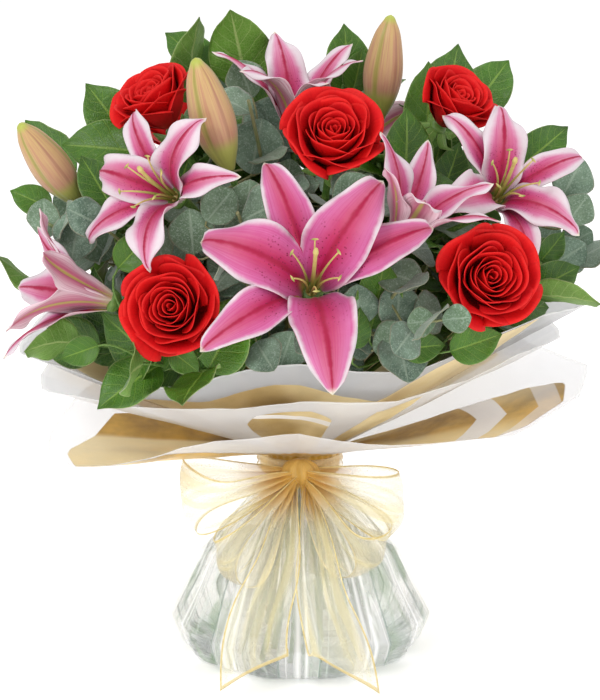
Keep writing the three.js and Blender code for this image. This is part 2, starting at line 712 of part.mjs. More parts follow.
// A rose's stem carries the swollen hip and its star of five sepals under the head.
function roseStem(rose) {
  const frame = headFrame(rose);
  const name = `${rose.name}_stem`;
  const end = frame.seat.clone().addScaledVector(frame.axis, -4);
  const { solid } = steered(name, rose.ring, rose.slot, end, frame.axis, ROSE_STEM);
  const rows = [[0, -12], [2.4, -12], [5.6, -4], [20, -7.4], [20, -6.4], [6, 0], [0, 0]];
  const point = (angle) => 0.35 + 0.65 * Math.abs(Math.cos(2.5 * angle + Math.PI / 4));
  const star = (angle, height) => (height < -6 && height > -8 ? point(angle) : 1);
  const calyx = turned(rows, 10, star);
  const solids = [solid, seated(calyx, frame)];
  keep(name, fuse(solids), MATERIALS.stem);
}

// A lily's stem forks into a stalk for each of its heads.
function lilyStem({ name, ring, slot, fork, heads }) {
  const forkPlace = vector(fork);
  const lean = forkPlace.clone().sub(HEART).normalize().add(new THREE.Vector3(0, 0, 1)).normalize();
  const { solid } = steered(name, ring, slot, forkPlace, lean, LILY_STEM);
  const solids = [solid];
  for (const head of heads) {
    const frame = headFrame([...LILIES, ...BUDS].find((row) => row.name === head));
    const far = forkPlace.distanceTo(frame.seat);
    const make = ([steer, sway]) => {
      const aside = swayed(forkPlace, frame.seat, sway).multiplyScalar(0.6);
      const line = new THREE.CubicBezierCurve3(
        forkPlace.clone().addScaledVector(lean, -5),
        forkPlace.clone().addScaledVector(lean, far * 0.25 * steer).add(aside),
        frame.seat.clone().addScaledVector(frame.axis, -far * 0.45 * steer),
        frame.seat.clone().addScaledVector(frame.axis, -0.05),
      );
      return tube(line, TWIG * 1.5, 4, 4);
    };
    const stalk = firstClear(BENDS, make, name);
    if (!stalk) throw new Error(`${name} has no clear bend to ${head}`);
    solids.push(stalk);
  }
  keep(name, fuse(solids), MATERIALS.stem);
}

// ---------------------------------------------------------------- leaves

// A leaf on a curve at t, turned round the stem from the side that lies flat on the dome.
function leaf(curve, t, kind, size, turn, lean) {
  const root = curve.getPoint(t);
  const along = curve.getTangent(t);
  const outward = root.clone().sub(HEART).normalize();
  const side = new THREE.Vector3().crossVectors(along, outward).normalize();
  const over = new THREE.Vector3().crossVectors(side, along);
  const from = side.multiplyScalar(Math.cos(turn)).addScaledVector(over, Math.sin(turn));
  const ahead = along.multiplyScalar(Math.cos(lean)).addScaledVector(from, Math.sin(lean)).normalize();
  const face = outward.addScaledVector(ahead, -outward.dot(ahead)).normalize();
  const across = new THREE.Vector3().crossVectors(ahead, face);
  const middle = (u, v) => {
    const width = kind.width * size * Math.max(0, Math.sin(Math.PI * v ** kind.broadest)) ** 0.75;
    const lift = width * (kind.fold * Math.abs(u) + kind.wave * u * u * Math.sin(9 * v + 2 * u));
    return root
      .clone()
      .addScaledVector(ahead, 0.6 + kind.length * size * v)
      .addScaledVector(across, u * width)
      .addScaledVector(face, lift - kind.droop * kind.length * size * v * v);
  };
  return blade(middle, kind.wave ? 2 : 1, 3);
}

// Leaves along the outer part of a curve: in turn left and right, or in crossed pairs, and one at the tip.
function leavesOn(curve, kind, count, from, seed, owner, wood, leaves) {
  const shared = (solid, other) => solid.intersect(other).volume();
  for (let k = 0; k < count; k++) {
    const atTip = k === count - 1;
    const rank = kind.pairs ? Math.floor(k / 2) : k;
    const ranks = kind.pairs ? Math.floor((count - 1) / 2) : count - 1;
    const t = atTip ? 0.985 : from + ((0.96 - from) * rank) / ranks;
    const side = k % 2 ? Math.PI : 0;
    const crossed = kind.pairs && rank % 2 ? Math.PI / 2.6 : 0;
    const size = 0.84 + 0.32 * ((seed * 0.37 + k * 0.618034) % 1);
    const lean = atTip ? rad(8) : rad(kind.lean);
    for (const [share, degrees] of POSES) {
      const solid = leaf(curve, t, kind, size * share, side + crossed + rad(degrees), lean);
      const inWood = wood.reduce((sum, other) => sum + shared(solid, other), 0);
      const crosses = leaves.some((other) => shared(solid, other) > LEAF_CROSSING);
      if (inWood > ROOT_SUNK || crosses || !isClear(solid, owner)) continue;
      leaves.push(solid);
      break;
    }
  }
}

function leafyStem(row, seed) {
  const tip = vector(row.tip);
  const arrive = polar(row.azimuth, Math.cos(rad(row.elevation)), Math.sin(rad(row.elevation)));
  const { curve, solid } = steered(row.name, 2, row.slot, tip, arrive, LEAFY_STEM);
  const forkAt = 0.62;
  const fork = curve.getPoint(forkAt);
  const end = vector(row.shoot);
  const far = fork.distanceTo(end);
  const outwards = end.clone().sub(HEART).normalize();
  const shoot = new THREE.CubicBezierCurve3(
    fork,
    fork.clone().addScaledVector(curve.getTangent(forkAt), far * 0.3),
    end.clone().addScaledVector(outwards, -far * 0.35),
    end,
  );
  const main = Math.ceil(row.leaves * 0.6);
  const twig = tube(shoot, TWIG * 1.1, 3, 3);
  const wood = isClear(twig, row.name) ? [solid, twig] : [solid];
  const leaves = [];
  leavesOn(curve, row.kind, main, 0.74, seed, row.name, wood, leaves);
  if (wood.length > 1) leavesOn(shoot, row.kind, row.leaves - main, 0.45, seed + 0.5, row.name, wood, leaves);
  keep(row.name, fuse([...wood, ...leaves]), row.kind === SALAL ? MATERIALS.salal : MATERIALS.eucalyptus);
}

// ---------------------------------------------------------------- the whole bouquet

filmPack();
twineTie();
WRAPS.forEach(wrapSheet);
ribbonBow();
ROSES.forEach(roseHead);
BUDS.forEach(lilyBud);
LILIES.forEach(lilyHead);
LILIES.filter(({ opened }) => opened > 0.9).forEach(stamens);
LILY_STEMS.forEach(lilyStem);
ROSES.forEach(roseStem);
FOLIAGE.forEach(leafyStem);
water(feet);

export default bouquet;
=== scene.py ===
import random
from math import asin, atan2, ceil, cos, degrees, exp, hypot, pi, radians, sin, sqrt

import bmesh
import bpy
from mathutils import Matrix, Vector, noise
from mathutils.bvhtree import BVHTree
from mathutils.kdtree import KDTree


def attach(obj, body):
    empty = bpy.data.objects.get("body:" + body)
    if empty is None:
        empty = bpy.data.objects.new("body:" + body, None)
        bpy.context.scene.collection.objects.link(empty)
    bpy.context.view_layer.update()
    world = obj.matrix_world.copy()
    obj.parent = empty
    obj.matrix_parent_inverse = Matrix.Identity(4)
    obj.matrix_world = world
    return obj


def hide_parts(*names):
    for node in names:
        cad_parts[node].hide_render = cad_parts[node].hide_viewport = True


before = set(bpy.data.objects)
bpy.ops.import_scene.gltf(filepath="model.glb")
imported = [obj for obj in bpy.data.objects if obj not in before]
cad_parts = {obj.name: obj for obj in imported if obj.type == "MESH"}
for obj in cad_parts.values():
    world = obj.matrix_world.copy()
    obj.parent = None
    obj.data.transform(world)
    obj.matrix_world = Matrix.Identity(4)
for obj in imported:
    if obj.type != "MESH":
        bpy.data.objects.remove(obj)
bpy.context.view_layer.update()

MM = 0.001

# ---------------------------------------------------------------- sizes shared with the solids

TIE_HEIGHT = 145
BLADE = 0.8
HEART = Vector((0, 0, 215))
FOOT_HEIGHT = 8
# Rings of stems at the tie: radius, lean.
RINGS = [(0, 0), (7.6, 0.237), (15.4, 0.4)]
TWIST = 60
LILY_STEM = 3.2
ROSE_STEM = 2.5
LEAFY_STEM = 2.1
TWIG = 1.3
# The pack's wall: height, radius, depth of its pleats.
PACK_WALL = [
    (0, 68, 0.02), (7, 84, 0.03), (24, 91, 0.04), (74, 68, 0.055), (130, 22.7, 0.01), (152, 22.7, 0.01),
]
FILM = 0.9
PLEATS = 10
TWINE_RADIUS = 18.95
TWINE_THICKNESS = 1.9
TWINE_HEIGHT = 8

NECK_FOOT = 134
WRAP_PLEATS = 6
WRAP_WAVE = 0.035
# Wraps: radius at the neck, height where they flare, and their rims as rows of azimuth, radius and height.
WRAPS = {
    "wrap_inner_paper": (24.2, 154, [
        (-180, 172, 280), (-150, 172, 272), (-110, 196, 228), (-75, 197, 230), (-48, 178, 226),
        (-35, 155, 230), (-22, 138, 242), (0, 132, 242), (26, 150, 244), (45, 178, 262), (70, 192, 264),
        (90, 202, 262), (110, 190, 260), (150, 172, 272),
    ]),
    "wrap_middle_film": (25.9, 152, [
        (-180, 160, 250), (-110, 180, 210), (-67, 184, 204), (-48, 164, 212), (-31, 132, 214),
        (0, 118, 214), (31, 130, 220), (45, 156, 229), (73, 184, 240), (110, 176, 242),
    ]),
    "wrap_outer_paper": (27.6, 150, [
        (-180, 150, 200), (-150, 162, 186), (-110, 168, 172), (-85, 178, 164), (-62, 182, 156),
        (-52, 168, 160), (-38, 120, 188), (0, 96, 186), (38, 130, 186), (65, 172, 176), (75, 198, 202),
        (86, 206, 218), (112, 176, 206), (150, 150, 206),
    ]),
}

# The band round the neck: inside radius, thickness, foot, top.
BAND = (29.1, 1.0, 136, 148)
KNOT = Vector((0, -38, 142))
# Loops of the bow: azimuth, elevation, length, half width, how far it stands open.
LOOPS = [(-64, -6, 90, 22, 13), (64, -10, 80, 24, 13), (-50, -38, 90, 22, 11), (50, -38, 86, 21, 11)]
# Tails of the bow: points on the middle line, half width.
TAILS = [
    ([(-5, -43, 138), (-14, -86, 104), (-24, -106, 60), (-32, -112, 13)], 23),
    ([(5, -43, 138), (12, -86, 104), (22, -107, 58), (28, -114, 9)], 22),
]

# Roses: ring and slot at the tie, seat, azimuth, elevation, width.
ROSES = {
    "rose_upper_left": (1, -103, (-86, -38, 385), -55, 56, 57),
    "rose_top": (1, 0, (20, -90, 374), 5, 44, 65),
    "rose_upper_right": (1, 103, (95, -16, 383), 45, 50, 54),
    "rose_lower_left": (2, -42, (-76, -132, 281), -12, 20, 65),
    "rose_lower_right": (2, 42, (116, -106, 293), 14, 22, 67),
    "rose_back": (1, -154, (-72, 92, 345), -140, 42, 70),
}
# Lilies: seat, azimuth, elevation, length, how far it has opened, the way each tepal points.
EVEN = (90, 30, -30, -90, -150, 150)
LILIES = {
    "lily_front": ((7, -146, 296), 3, 31, 104, 1, (54, 24, -83, -148, 165, 110)),
    "lily_upper_left": ((-77, -108, 350), -38, 25, 75, 0.95, (62, 16, -74, -138, 174, 128)),
    "lily_half_right": ((60, -124, 320), 62, 63, 80, 0.22, EVEN),
    "lily_upper_right": ((129, -60, 337), 20, 38, 77, 0.95, (82, 16, -46, -88, 184, 118)),
    "lily_crown": ((-4, -30, 376), 20, 83, 80, 0.3, EVEN),
    "lily_half_left": ((-118, -112, 282), -84, 18, 84, 0.2, EVEN),
    "lily_back": ((30, 112, 322), 172, 40, 92, 0.95, EVEN),
}
# Buds: seat, azimuth, elevation, length.
BUDS = {
    "lily_bud_left": ((-148, -52, 336), -62, 54, 72),
    "lily_bud_upper": ((-46, -98, 368), -60, 72, 80),
    "lily_bud_crown": ((54, 6, 382), 60, 83, 74),
    "lily_bud_back": ((-20, 92, 352), 170, 54, 74),
}
# Lily stems: ring, slot, fork, heads.
LILY_STEMS = {
    "lily_stem_middle": (0, 0, (-4, -34, 292), ("lily_front", "lily_crown", "lily_bud_upper")),
    "lily_stem_left": (1, -51, (-68, -42, 280), ("lily_upper_left", "lily_half_left", "lily_bud_left")),
    "lily_stem_right": (1, 51, (62, -26, 286), ("lily_upper_right", "lily_half_right", "lily_bud_crown")),
    "lily_stem_back": (1, 154, (4, 56, 288), ("lily_back", "lily_bud_back")),
}
# Leaves: length, half width, broadest, droop, fold, wave, lean, in pairs.
SALAL = (54, 19.5, 0.75, 0.22, 0.22, 0.1, 52, False)
EUCALYPTUS = (33, 16.5, 1, 0.1, 0.12, 0, 66, True)
# Foliage: kind, slot, tip, azimuth, elevation, tip of the side shoot, leaves.
FOLIAGE = {
    "salal_front_left": (SALAL, -64, (-102, -146, 250), -52, 14, (-62, -166, 250), 8),
    "salal_low_left": (SALAL, -85, (-150, -100, 252), -62, 12, (-162, -44, 268), 8),
    "eucalyptus_left": (EUCALYPTUS, -106, (-168, -70, 326), -70, 34, (-130, -98, 330), 9),
    "salal_upper_left": (SALAL, -127, (-138, 0, 366), -84, 50, (-158, 20, 340), 8),
    "salal_crown_left": (SALAL, -148, (-72, 6, 398), -80, 72, (-36, 8, 404), 8),
    "eucalyptus_middle": (EUCALYPTUS, 0, (-34, -74, 410), -24, 62, (-14, -112, 392), 9),
    "eucalyptus_front_left": (EUCALYPTUS, -21, (-40, -146, 350), -18, 44, (-48, -152, 316), 9),
    "eucalyptus_front_right": (EUCALYPTUS, 21, (78, -158, 278), 28, 14, (66, -142, 300), 9),
    "salal_low_right": (SALAL, 64, (160, -72, 278), 66, 10, (118, -140, 252), 8),
    "eucalyptus_right": (EUCALYPTUS, 85, (180, -14, 328), 86, 30, (186, -20, 286), 9),
    "salal_upper_right": (SALAL, 106, (150, 10, 362), 92, 48, (120, 34, 384), 8),
    "salal_crown_right": (SALAL, 127, (30, 22, 404), 60, 76, (88, 20, 392), 8),
    "salal_back_right": (SALAL, 148, (120, 120, 318), 134, 34, (150, 90, 270), 8),
    "eucalyptus_back": (EUCALYPTUS, 169, (10, 165, 290), 176, 26, (-50, 150, 300), 9),
    "salal_back_left": (SALAL, -169, (-138, 112, 300), -130, 24, (-90, 140, 268), 8),
}
TURNS = (0, 24, -24, 48, -48, 72, -72, 96, -96, 120, -120)
POSES = [(share, turn) for share in (1, 0.78) for turn in TURNS]
STEERS = (1, 0.75, 1.3, 0.5, 1.6)
SWAYS = (
    (0, 0), (14, 0), (-14, 0), (0, 14), (0, -14), (26, 0), (-26, 0), (0, 26), (0, -26),
    (40, 0), (-40, 0), (0, -40), (0, 40), (56, 0), (-56, 0), (0, -56),
)
BENDS = [(steer, sway) for sway in SWAYS for steer in STEERS]
FLARES = (1, 0.93, 1.07, 0.86, 1.14, 0.79, 1.21, 0.72, 0.64, 0.56)
ARCHES = [(flare, swing) for flare in FLARES for swing in (0, 7, -7, 14, -14)]
STEM_STEPS = 7
STRAIGHT = 1 / STEM_STEPS

# ---------------------------------------------------------------- directions and curves

UP = Vector((0, 0, 1))


def polar(azimuth, radius, height):
    """A place from its azimuth (degrees from the front, -Y, towards +X), radius and height."""
    a = radians(azimuth)
    return Vector((radius * sin(a), -radius * cos(a), height))


class Head:
    """Where a bloom sits and which way it faces."""

    def __init__(self, seat, azimuth, elevation):
        e = radians(elevation)
        a = radians(azimuth)
        self.seat = Vector(seat)
        self.axis = polar(azimuth, cos(e), sin(e))
        self.right = Vector((cos(a), sin(a), 0))
        self.top = self.axis.cross(self.right)

    def place(self, angle, out, along):
        side = self.right * (out * cos(angle)) + self.top * (out * sin(angle))
        return self.seat + self.axis * along + side

    def aside(self, angle):
        """The way round the axis from this angle."""
        return self.top * cos(angle) - self.right * sin(angle)


STAND = Head((0, 0, 0), 0, 90)


def bezier(a, b, c, d):
    def at(t):
        s = 1 - t
        return a * (s ** 3) + b * (3 * s * s * t) + c * (3 * s * t * t) + d * (t ** 3)

    return at


def catmull(points):
    """A smooth line through points, as a curve of t from 0 to 1."""
    points = [Vector(p) for p in points]
    ends = [points[0] * 2 - points[1]] + points + [points[-1] * 2 - points[-2]]

    def at(t):
        spot = min(len(points) - 1.000001, max(0, t * (len(points) - 1)))
        k = int(spot)
        s = spot - k
        a, b, c, d = ends[k:k + 4]
        bent = (b * 2) + (c - a) * s + (a * 2 - b * 5 + c * 4 - d) * s * s
        return 0.5 * (bent + (b * 3 - a - c * 3 + d) * s ** 3)

    return at


def tangent(curve, t):
    return (curve(min(1, t + 1e-4)) - curve(max(0, t - 1e-4))).normalized()


def even(curve, count):
    """Points at even steps of a curve's own t, both ends included."""
    return [curve(k / count) for k in range(count + 1)]


def length_of(places):
    return sum((after - before).length for before, after in zip(places, places[1:]))


def spaced(curve, count, fine=200):
    """Points at even distances along a curve, both ends included."""
    places = even(curve, fine)
    runs = [0.0]
    for before, after in zip(places, places[1:]):
        runs.append(runs[-1] + (after - before).length)
    found = []
    k = 0
    for j in range(count + 1):
        want = runs[-1] * j / count
        while k < fine - 1 and runs[k + 1] < want:
            k += 1
        share = (want - runs[k]) / max(runs[k + 1] - runs[k], 1e-9)
        found.append(curve((k + share) / fine))
    return found


def swayed(start, end, sway):
    aside, inwards = sway
    side = (end - start).cross(UP).normalized()
    return side * aside + Vector((-end.x, -end.y, 0)).normalized() * inwards


def stem_curve(ring, slot, end, arrive, steer, sway):
    """A stem: straight from its cut foot to just over the tie, then one smooth bend to where it ends."""
    radius, lean = RINGS[ring]
    azimuth = slot - TWIST
    a = radians(azimuth)
    way = (UP + Vector((cos(a), sin(a), 0)) * lean).normalized()
    tie = polar(azimuth, radius, TIE_HEIGHT)
    foot = tie + way * ((FOOT_HEIGHT - TIE_HEIGHT) / way.z)
    start = tie + way * 13
    far = (end - start).length
    arriving = end - arrive * (far * 0.3 * steer) + swayed(start, end, sway)
    bend = bezier(start, start + way * (far * 0.22 * steer), arriving, end)

    def at(t):
        if t >= STRAIGHT:
            return bend((t - STRAIGHT) / (1 - STRAIGHT))
        return foot.lerp(start, t / STRAIGHT)

    return at


def ease(low, high, x):
    """0 below low, 1 above high, and a smooth step between."""
    x = min(1, max(0, (x - low) / (high - low)))
    return x * x * (3 - 2 * x)


def ripple(place, scale, seed=0.0):
    """Smooth noise from -1 to 1 at a place, with lumps of about this many millimetres."""
    return noise.noise(Vector(place) / scale + Vector((seed, seed * 0.7, -seed)))


# ---------------------------------------------------------------- reading the solids

TREES = {}
TIP_SLACK = 0.12


def tree_of(node):
    """The corners of a plain solid, to look up by place, in millimetres."""
    if node not in TREES:
        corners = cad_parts[node].data.vertices
        tree = KDTree(len(corners))
        for k, corner in enumerate(corners):
            tree.insert(corner.co / MM, k)
        tree.balance()
        TREES[node] = tree
    return TREES[node]


def stray(node, centres, radius):
    """How far the solid's corners are from lying one radius off these centres."""
    tree = tree_of(node)
    return sum(min(1.0, abs(tree.find(centre)[2] - radius)) for centre in centres)


def best_fit(node, curves, centres_on, radius):
    """The curve that the plain solid took, of several that it may have."""
    return min(curves, key=lambda curve: stray(node, centres_on(curve), radius))


def has_tip(node, tip):
    """Whether a blade of the solid ends here."""
    return abs(tree_of(node).find(tip)[2] - BLADE / 2) < TIP_SLACK


# ---------------------------------------------------------------- meshes


class Making:
    """A mesh in the making, with the layers that its materials read: the place along and across each blade,
    a number of its own for each blade, and a rank, such as how near the knot a ribbon is."""

    def __init__(self, name):
        self.name = name
        self.bm = bmesh.new()
        self.uv = self.bm.loops.layers.uv.new("blade")
        self.own = self.bm.verts.layers.float.new("own")
        self.rank = self.bm.verts.layers.float.new("rank")

    def blade(self, middle, across, along, own=0.5, rank=0.0):
        """A sheet from middle(u, v), u from -1 to 1 across and v from 0 to 1 along."""
        made = bmesh.ops.create_grid(self.bm, x_segments=across, y_segments=along, size=1)["verts"]
        for face in {face for vert in made for face in vert.link_faces}:
            for loop in face.loops:
                loop[self.uv].uv = ((loop.vert.co.x + 1) / 2, (loop.vert.co.y + 1) / 2)
        for vert in made:
            u, v = vert.co.x, min(1, max(0, (vert.co.y + 1) / 2))
            vert[self.own] = own
            vert[self.rank] = rank(u, v) if callable(rank) else rank
            vert.co = middle(u, v) * MM
        return made

    def merge(self, verts=None, near=1e-6):
        """Corners that lie within this many metres of each other become one."""
        bmesh.ops.remove_doubles(self.bm, verts=verts or self.bm.verts, dist=near)

    def tube(self, places, radii, sides, rank=0.0):
        """A tube through these places, with closed ends."""
        steps = len(places) - 1
        ways = [(places[min(k + 1, steps)] - places[max(k - 1, 0)]).normalized() for k in range(steps + 1)]
        side = ways[0].orthogonal().normalized()
        sides_at = []
        for way in ways:
            side = (side - way * side.dot(way)).normalized()
            sides_at.append((side.copy(), way.cross(side)))

        def middle(u, v):
            k = round(v * steps)
            right, up = sides_at[k]
            angle = pi * u
            return places[k] + (right * cos(angle) + up * sin(angle)) * radii[k]

        made = self.blade(middle, sides, steps, rank=rank)
        self.merge(made, 2e-6)
        rims = [e for e in {e for v in made if v.is_valid for e in v.link_edges} if e.is_boundary]
        bmesh.ops.holes_fill(self.bm, edges=rims, sides=0)

    def turned(self, head, profile, sides, shape=lambda angle: 1):
        """A turned body round a head's axis from (radius, height) rows, its radii scaled by shape(angle)."""
        steps = len(profile) - 1

        def middle(u, v):
            radius, height = profile[round(v * steps)]
            angle = pi * u
            return head.place(angle, radius * shape(angle), height)

        self.merge(self.blade(middle, sides, steps), 2e-6)

    def finished(self, materials, slot, nodes, thick=None, clean=True):
        """The object: merged at its tips and seams, faces outwards, given its materials and its place."""
        if clean:
            self.merge()
        if thick is None:
            bmesh.ops.recalc_face_normals(self.bm, faces=self.bm.faces)
        for face in self.bm.faces:
            face.smooth = True
        mesh = bpy.data.meshes.new(self.name)
        self.bm.to_mesh(mesh)
        self.bm.free()
        piece = bpy.data.objects.new(self.name, mesh)
        bpy.context.scene.collection.objects.link(piece)
        for material in materials:
            mesh.materials.append(material)
        if thick:
            wall = piece.modifiers.new("thickness", "SOLIDIFY")
            wall.thickness = thick * MM
            wall.offset = 0
            if len(materials) > 1:
                wall.material_offset = 1
        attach(piece, "root")
        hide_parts(*nodes)
        return piece


# ---------------------------------------------------------------- how materials are made


def colour(text):
    """A linear colour from its sRGB hex."""
    parts = [int(text[k:k + 2], 16) / 255 for k in (1, 3, 5)]
    return tuple(c / 12.92 if c <= 0.04045 else ((c + 0.055) / 1.055) ** 2.4 for c in parts) + (1.0,)


def spoken(key):
    return key.replace("_", " ")


class Value:
    """A value that changes over a surface. Each sum with it makes the node that works it out."""

    def __init__(self, nodes, socket):
        self.nodes = nodes
        self.socket = socket

    def __add__(self, other):
        return self.nodes.math("ADD", self, other)

    def __sub__(self, other):
        return self.nodes.math("SUBTRACT", self, other)

    def __rsub__(self, other):
        return self.nodes.math("SUBTRACT", other, self)

    def __mul__(self, other):
        return self.nodes.math("MULTIPLY", self, other)

    def __abs__(self):
        return self.nodes.math("ABSOLUTE", self)

    def zigzag(self, top):
        """Up to this top and down to 0, over and over."""
        return self.nodes.math("PINGPONG", self, top)

    def span(self, low, high, to_low=0.0, to_high=1.0, smooth=True):
        """to_low below low, to_high above high, and a step between, smooth or straight."""
        inputs = {"Value": self, "From Min": low, "From Max": high, "To Min": to_low, "To Max": to_high}
        step = "SMOOTHSTEP" if smooth else "LINEAR"
        return self.nodes.fed("ShaderNodeMapRange", inputs, clamp=True, interpolation_type=step)


class Nodes:
    """The nodes of a material, or of an effect that several materials share."""

    def __init__(self, tree):
        self.tree = tree

    def node(self, kind, **settings):
        made = self.tree.nodes.new(kind)
        for key, value in settings.items():
            setattr(made, key, value)
        return made

    def feed(self, socket, value):
        """A value is linked, a hex colour becomes a linear one, and a number is set."""
        if isinstance(value, Value):
            self.tree.links.new(value.socket, socket)
        else:
            socket.default_value = colour(value) if isinstance(value, str) else value

    def fed(self, kind, inputs, output=0, **settings):
        """What a new node puts out for these inputs."""
        made = self.node(kind, **settings)
        for key, value in inputs.items():
            self.feed(made.inputs[key], value)
        return Value(self, made.outputs[output])

    def effect(self, group, **inputs):
        """A shared effect placed here with its own values, and what it puts out."""
        made = self.node("ShaderNodeGroup", node_tree=group)
        for key, value in inputs.items():
            self.feed(made.inputs[spoken(key)], value)
        return [Value(self, socket) for socket in made.outputs]

    def math(self, operation, a, b=0.0, clamp=False):
        return self.fed("ShaderNodeMath", {0: a, 1: b}, operation=operation, use_clamp=clamp)

    def layers(self, ground, *coats):
        """A ground colour under coats of colour, each let through by its mask."""
        for mask, tint in coats:
            ground = self.fed("ShaderNodeMix", {0: mask, 6: ground, 7: tint}, 2, data_type="RGBA")
        return ground

    def place(self):
        return self.fed("ShaderNodeTexCoord", {}, "Object")

    def own(self, name="own"):
        return self.fed("ShaderNodeAttribute", {}, "Fac", attribute_name=name)

    def blade(self):
        """Across (0 to 1), along (0 to 1), and the edge: 0 on a blade's midrib and 1 on its rims."""
        split = self.node("ShaderNodeSeparateXYZ")
        self.feed(split.inputs[0], self.fed("ShaderNodeUVMap", {}, uv_map="blade"))
        across, along = Value(self, split.outputs[0]), Value(self, split.outputs[1])
        return across, along, abs(across - 0.5) * 2.0

    def stretched(self, across, along, shift):
        """The blade's own coordinates, stretched, and moved by each blade's own number."""
        u, v, _ = self.blade()
        return self.fed("ShaderNodeCombineXYZ", {0: u * across, 1: v * along, 2: self.own() * shift})

    def noise(self, scale, detail=3.0, rough=0.55, vector=None):
        inputs = {"Vector": vector or self.place(), "Scale": scale, "Detail": detail, "Roughness": rough}
        return self.fed("ShaderNodeTexNoise", inputs, "Fac")

    def streaks(self, across, along, shift=0.0, detail=3.0, rough=0.5):
        """Noise drawn out along a blade, so many streaks across it and so many lengths of them along it."""
        inputs = {"Across": across, "Along": along, "Shift": shift, "Detail": detail, "Roughness": rough}
        return self.effect(STREAKS, **inputs)[0]

    def cells(self, scale, vector=None, feature="F1", output="Distance"):
        inputs = {"Vector": vector or self.place(), "Scale": scale}
        return self.fed("ShaderNodeTexVoronoi", inputs, output, feature=feature)

    def ramp(self, across, rows):
        """A number read off straight lines between (azimuth, number) rows, 32 at most."""
        made = self.node("ShaderNodeValToRGB")
        stops = made.color_ramp.elements
        while len(stops) < len(rows):
            stops.new(1)
        for stop, (azimuth, number) in zip(stops, rows):
            stop.position = (azimuth + 180) / 360
            stop.color = (number, number, number, 1)
        self.feed(made.inputs[0], across)
        return Value(self, made.outputs[0])


class Effect(Nodes):
    """A shader node group in the making. Each named input has a value or a colour to start with."""

    def __init__(self, name, **inputs):
        super().__init__(bpy.data.node_groups.new(name, "ShaderNodeTree"))
        for key, value in inputs.items():
            self.feed(self.socket(key, "INPUT", isinstance(value, str)), value)
        self.given = self.node("NodeGroupInput")

    def __getitem__(self, key):
        return Value(self, self.given.outputs[key])

    def socket(self, key, way, coloured):
        kind = "NodeSocketColor" if coloured else "NodeSocketFloat"
        return self.tree.interface.new_socket(spoken(key), in_out=way, socket_type=kind)

    def giving(self, **outputs):
        """The group itself, which puts these values and colours out."""
        last = self.node("NodeGroupOutput")
        for key, value in outputs.items():
            self.socket(key, "OUTPUT", value.socket.type == "RGBA")
            self.feed(last.inputs[spoken(key)], value)
        return self.tree


class Paint(Nodes):
    """A material in the making, with its constants set on its shader."""

    def __init__(self, name, roughness, **constants):
        self.material = bpy.data.materials.new(name)
        self.material.use_nodes = True
        super().__init__(self.material.node_tree)
        self.shader = self.tree.nodes["Principled BSDF"]
        for key, value in {"Roughness": roughness, **constants}.items():
            self.shader.inputs[spoken(key)].default_value = value

    def bump(self, height, strength, distance):
        inputs = {"Strength": strength, "Distance": distance * MM, "Height": height}
        self.feed(self.shader.inputs["Normal"], self.fed("ShaderNodeBump", inputs))

    def finished(self, skin, **sockets):
        """The material, with this skin as its colour and these values on its other sockets."""
        for key, value in {"Base_Color": skin, **sockets}.items():
            self.feed(self.shader.inputs[spoken(key)], value)
        return self.material


# ---------------------------------------------------------------- effects that materials share


def streaks_effect():
    group = Effect("streaks", Across=1.0, Along=1.0, Shift=0.0, Detail=3.0, Roughness=0.5)
    place = group.stretched(group["Across"], group["Along"], group["Shift"])
    return group.giving(Streaks=group.noise(1, group["Detail"], group["Roughness"], place))


STREAKS = streaks_effect()


def leaf_veins_effect():
    """Side veins that slant forward from the midrib, and the midrib."""
    group = Effect("leaf veins", Pairs=9.0, Slant=1.9, Wander=0.0, Vein=0.07, Rib_Low=0.02, Rib_High=0.07)
    _, along, edge = group.blade()
    bent = along * group["Pairs"] - edge * group["Slant"] + group.streaks(3, 8, 5, 2) * group["Wander"]
    side_veins = bent.zigzag(0.5).span(0.0, group["Vein"], 1, 0)
    return group.giving(Side_Veins=side_veins, Midrib=edge.span(group["Rib Low"], group["Rib High"], 1, 0))


LEAF_VEINS = leaf_veins_effect()
LEAF_TONES = {"Light": "#808080", "Dark": "#404040", "Vein": "#a0a0a0"}


def salal_effect():
    """Salal: two greens, a fine net of veins, pale side veins and midrib, and a thin pale rim."""
    group = Effect("salal leaf", **LEAF_TONES)
    _, _, edge = group.blade()
    veins = {"Pairs": 9.0, "Slant": 1.9, "Wander": 0.5, "Vein": 0.07, "Rib_Low": 0.025, "Rib_High": 0.07}
    side_veins, midrib = group.effect(LEAF_VEINS, **veins)
    net = group.cells(1, group.stretched(22, 38, 5), "DISTANCE_TO_EDGE")
    skin = group.layers(
        group["Dark"],
        (group.noise(45, 4, 0.6).span(0.32, 0.7), group["Light"]),
        (group.own() * 0.5, "#558a14"),
        (net.span(0.0, 0.1, 0.3, 0), group["Vein"]),
        (side_veins * 0.5, group["Vein"]),
        (midrib * 0.8, group["Vein"]),
        (edge.span(0.95, 1.0, 0, 0.5), "#a9b878"),
    )
    return group.giving(Skin=skin, Relief=net.span(0.0, 0.2) - side_veins * 1.4 - midrib * 1.5)


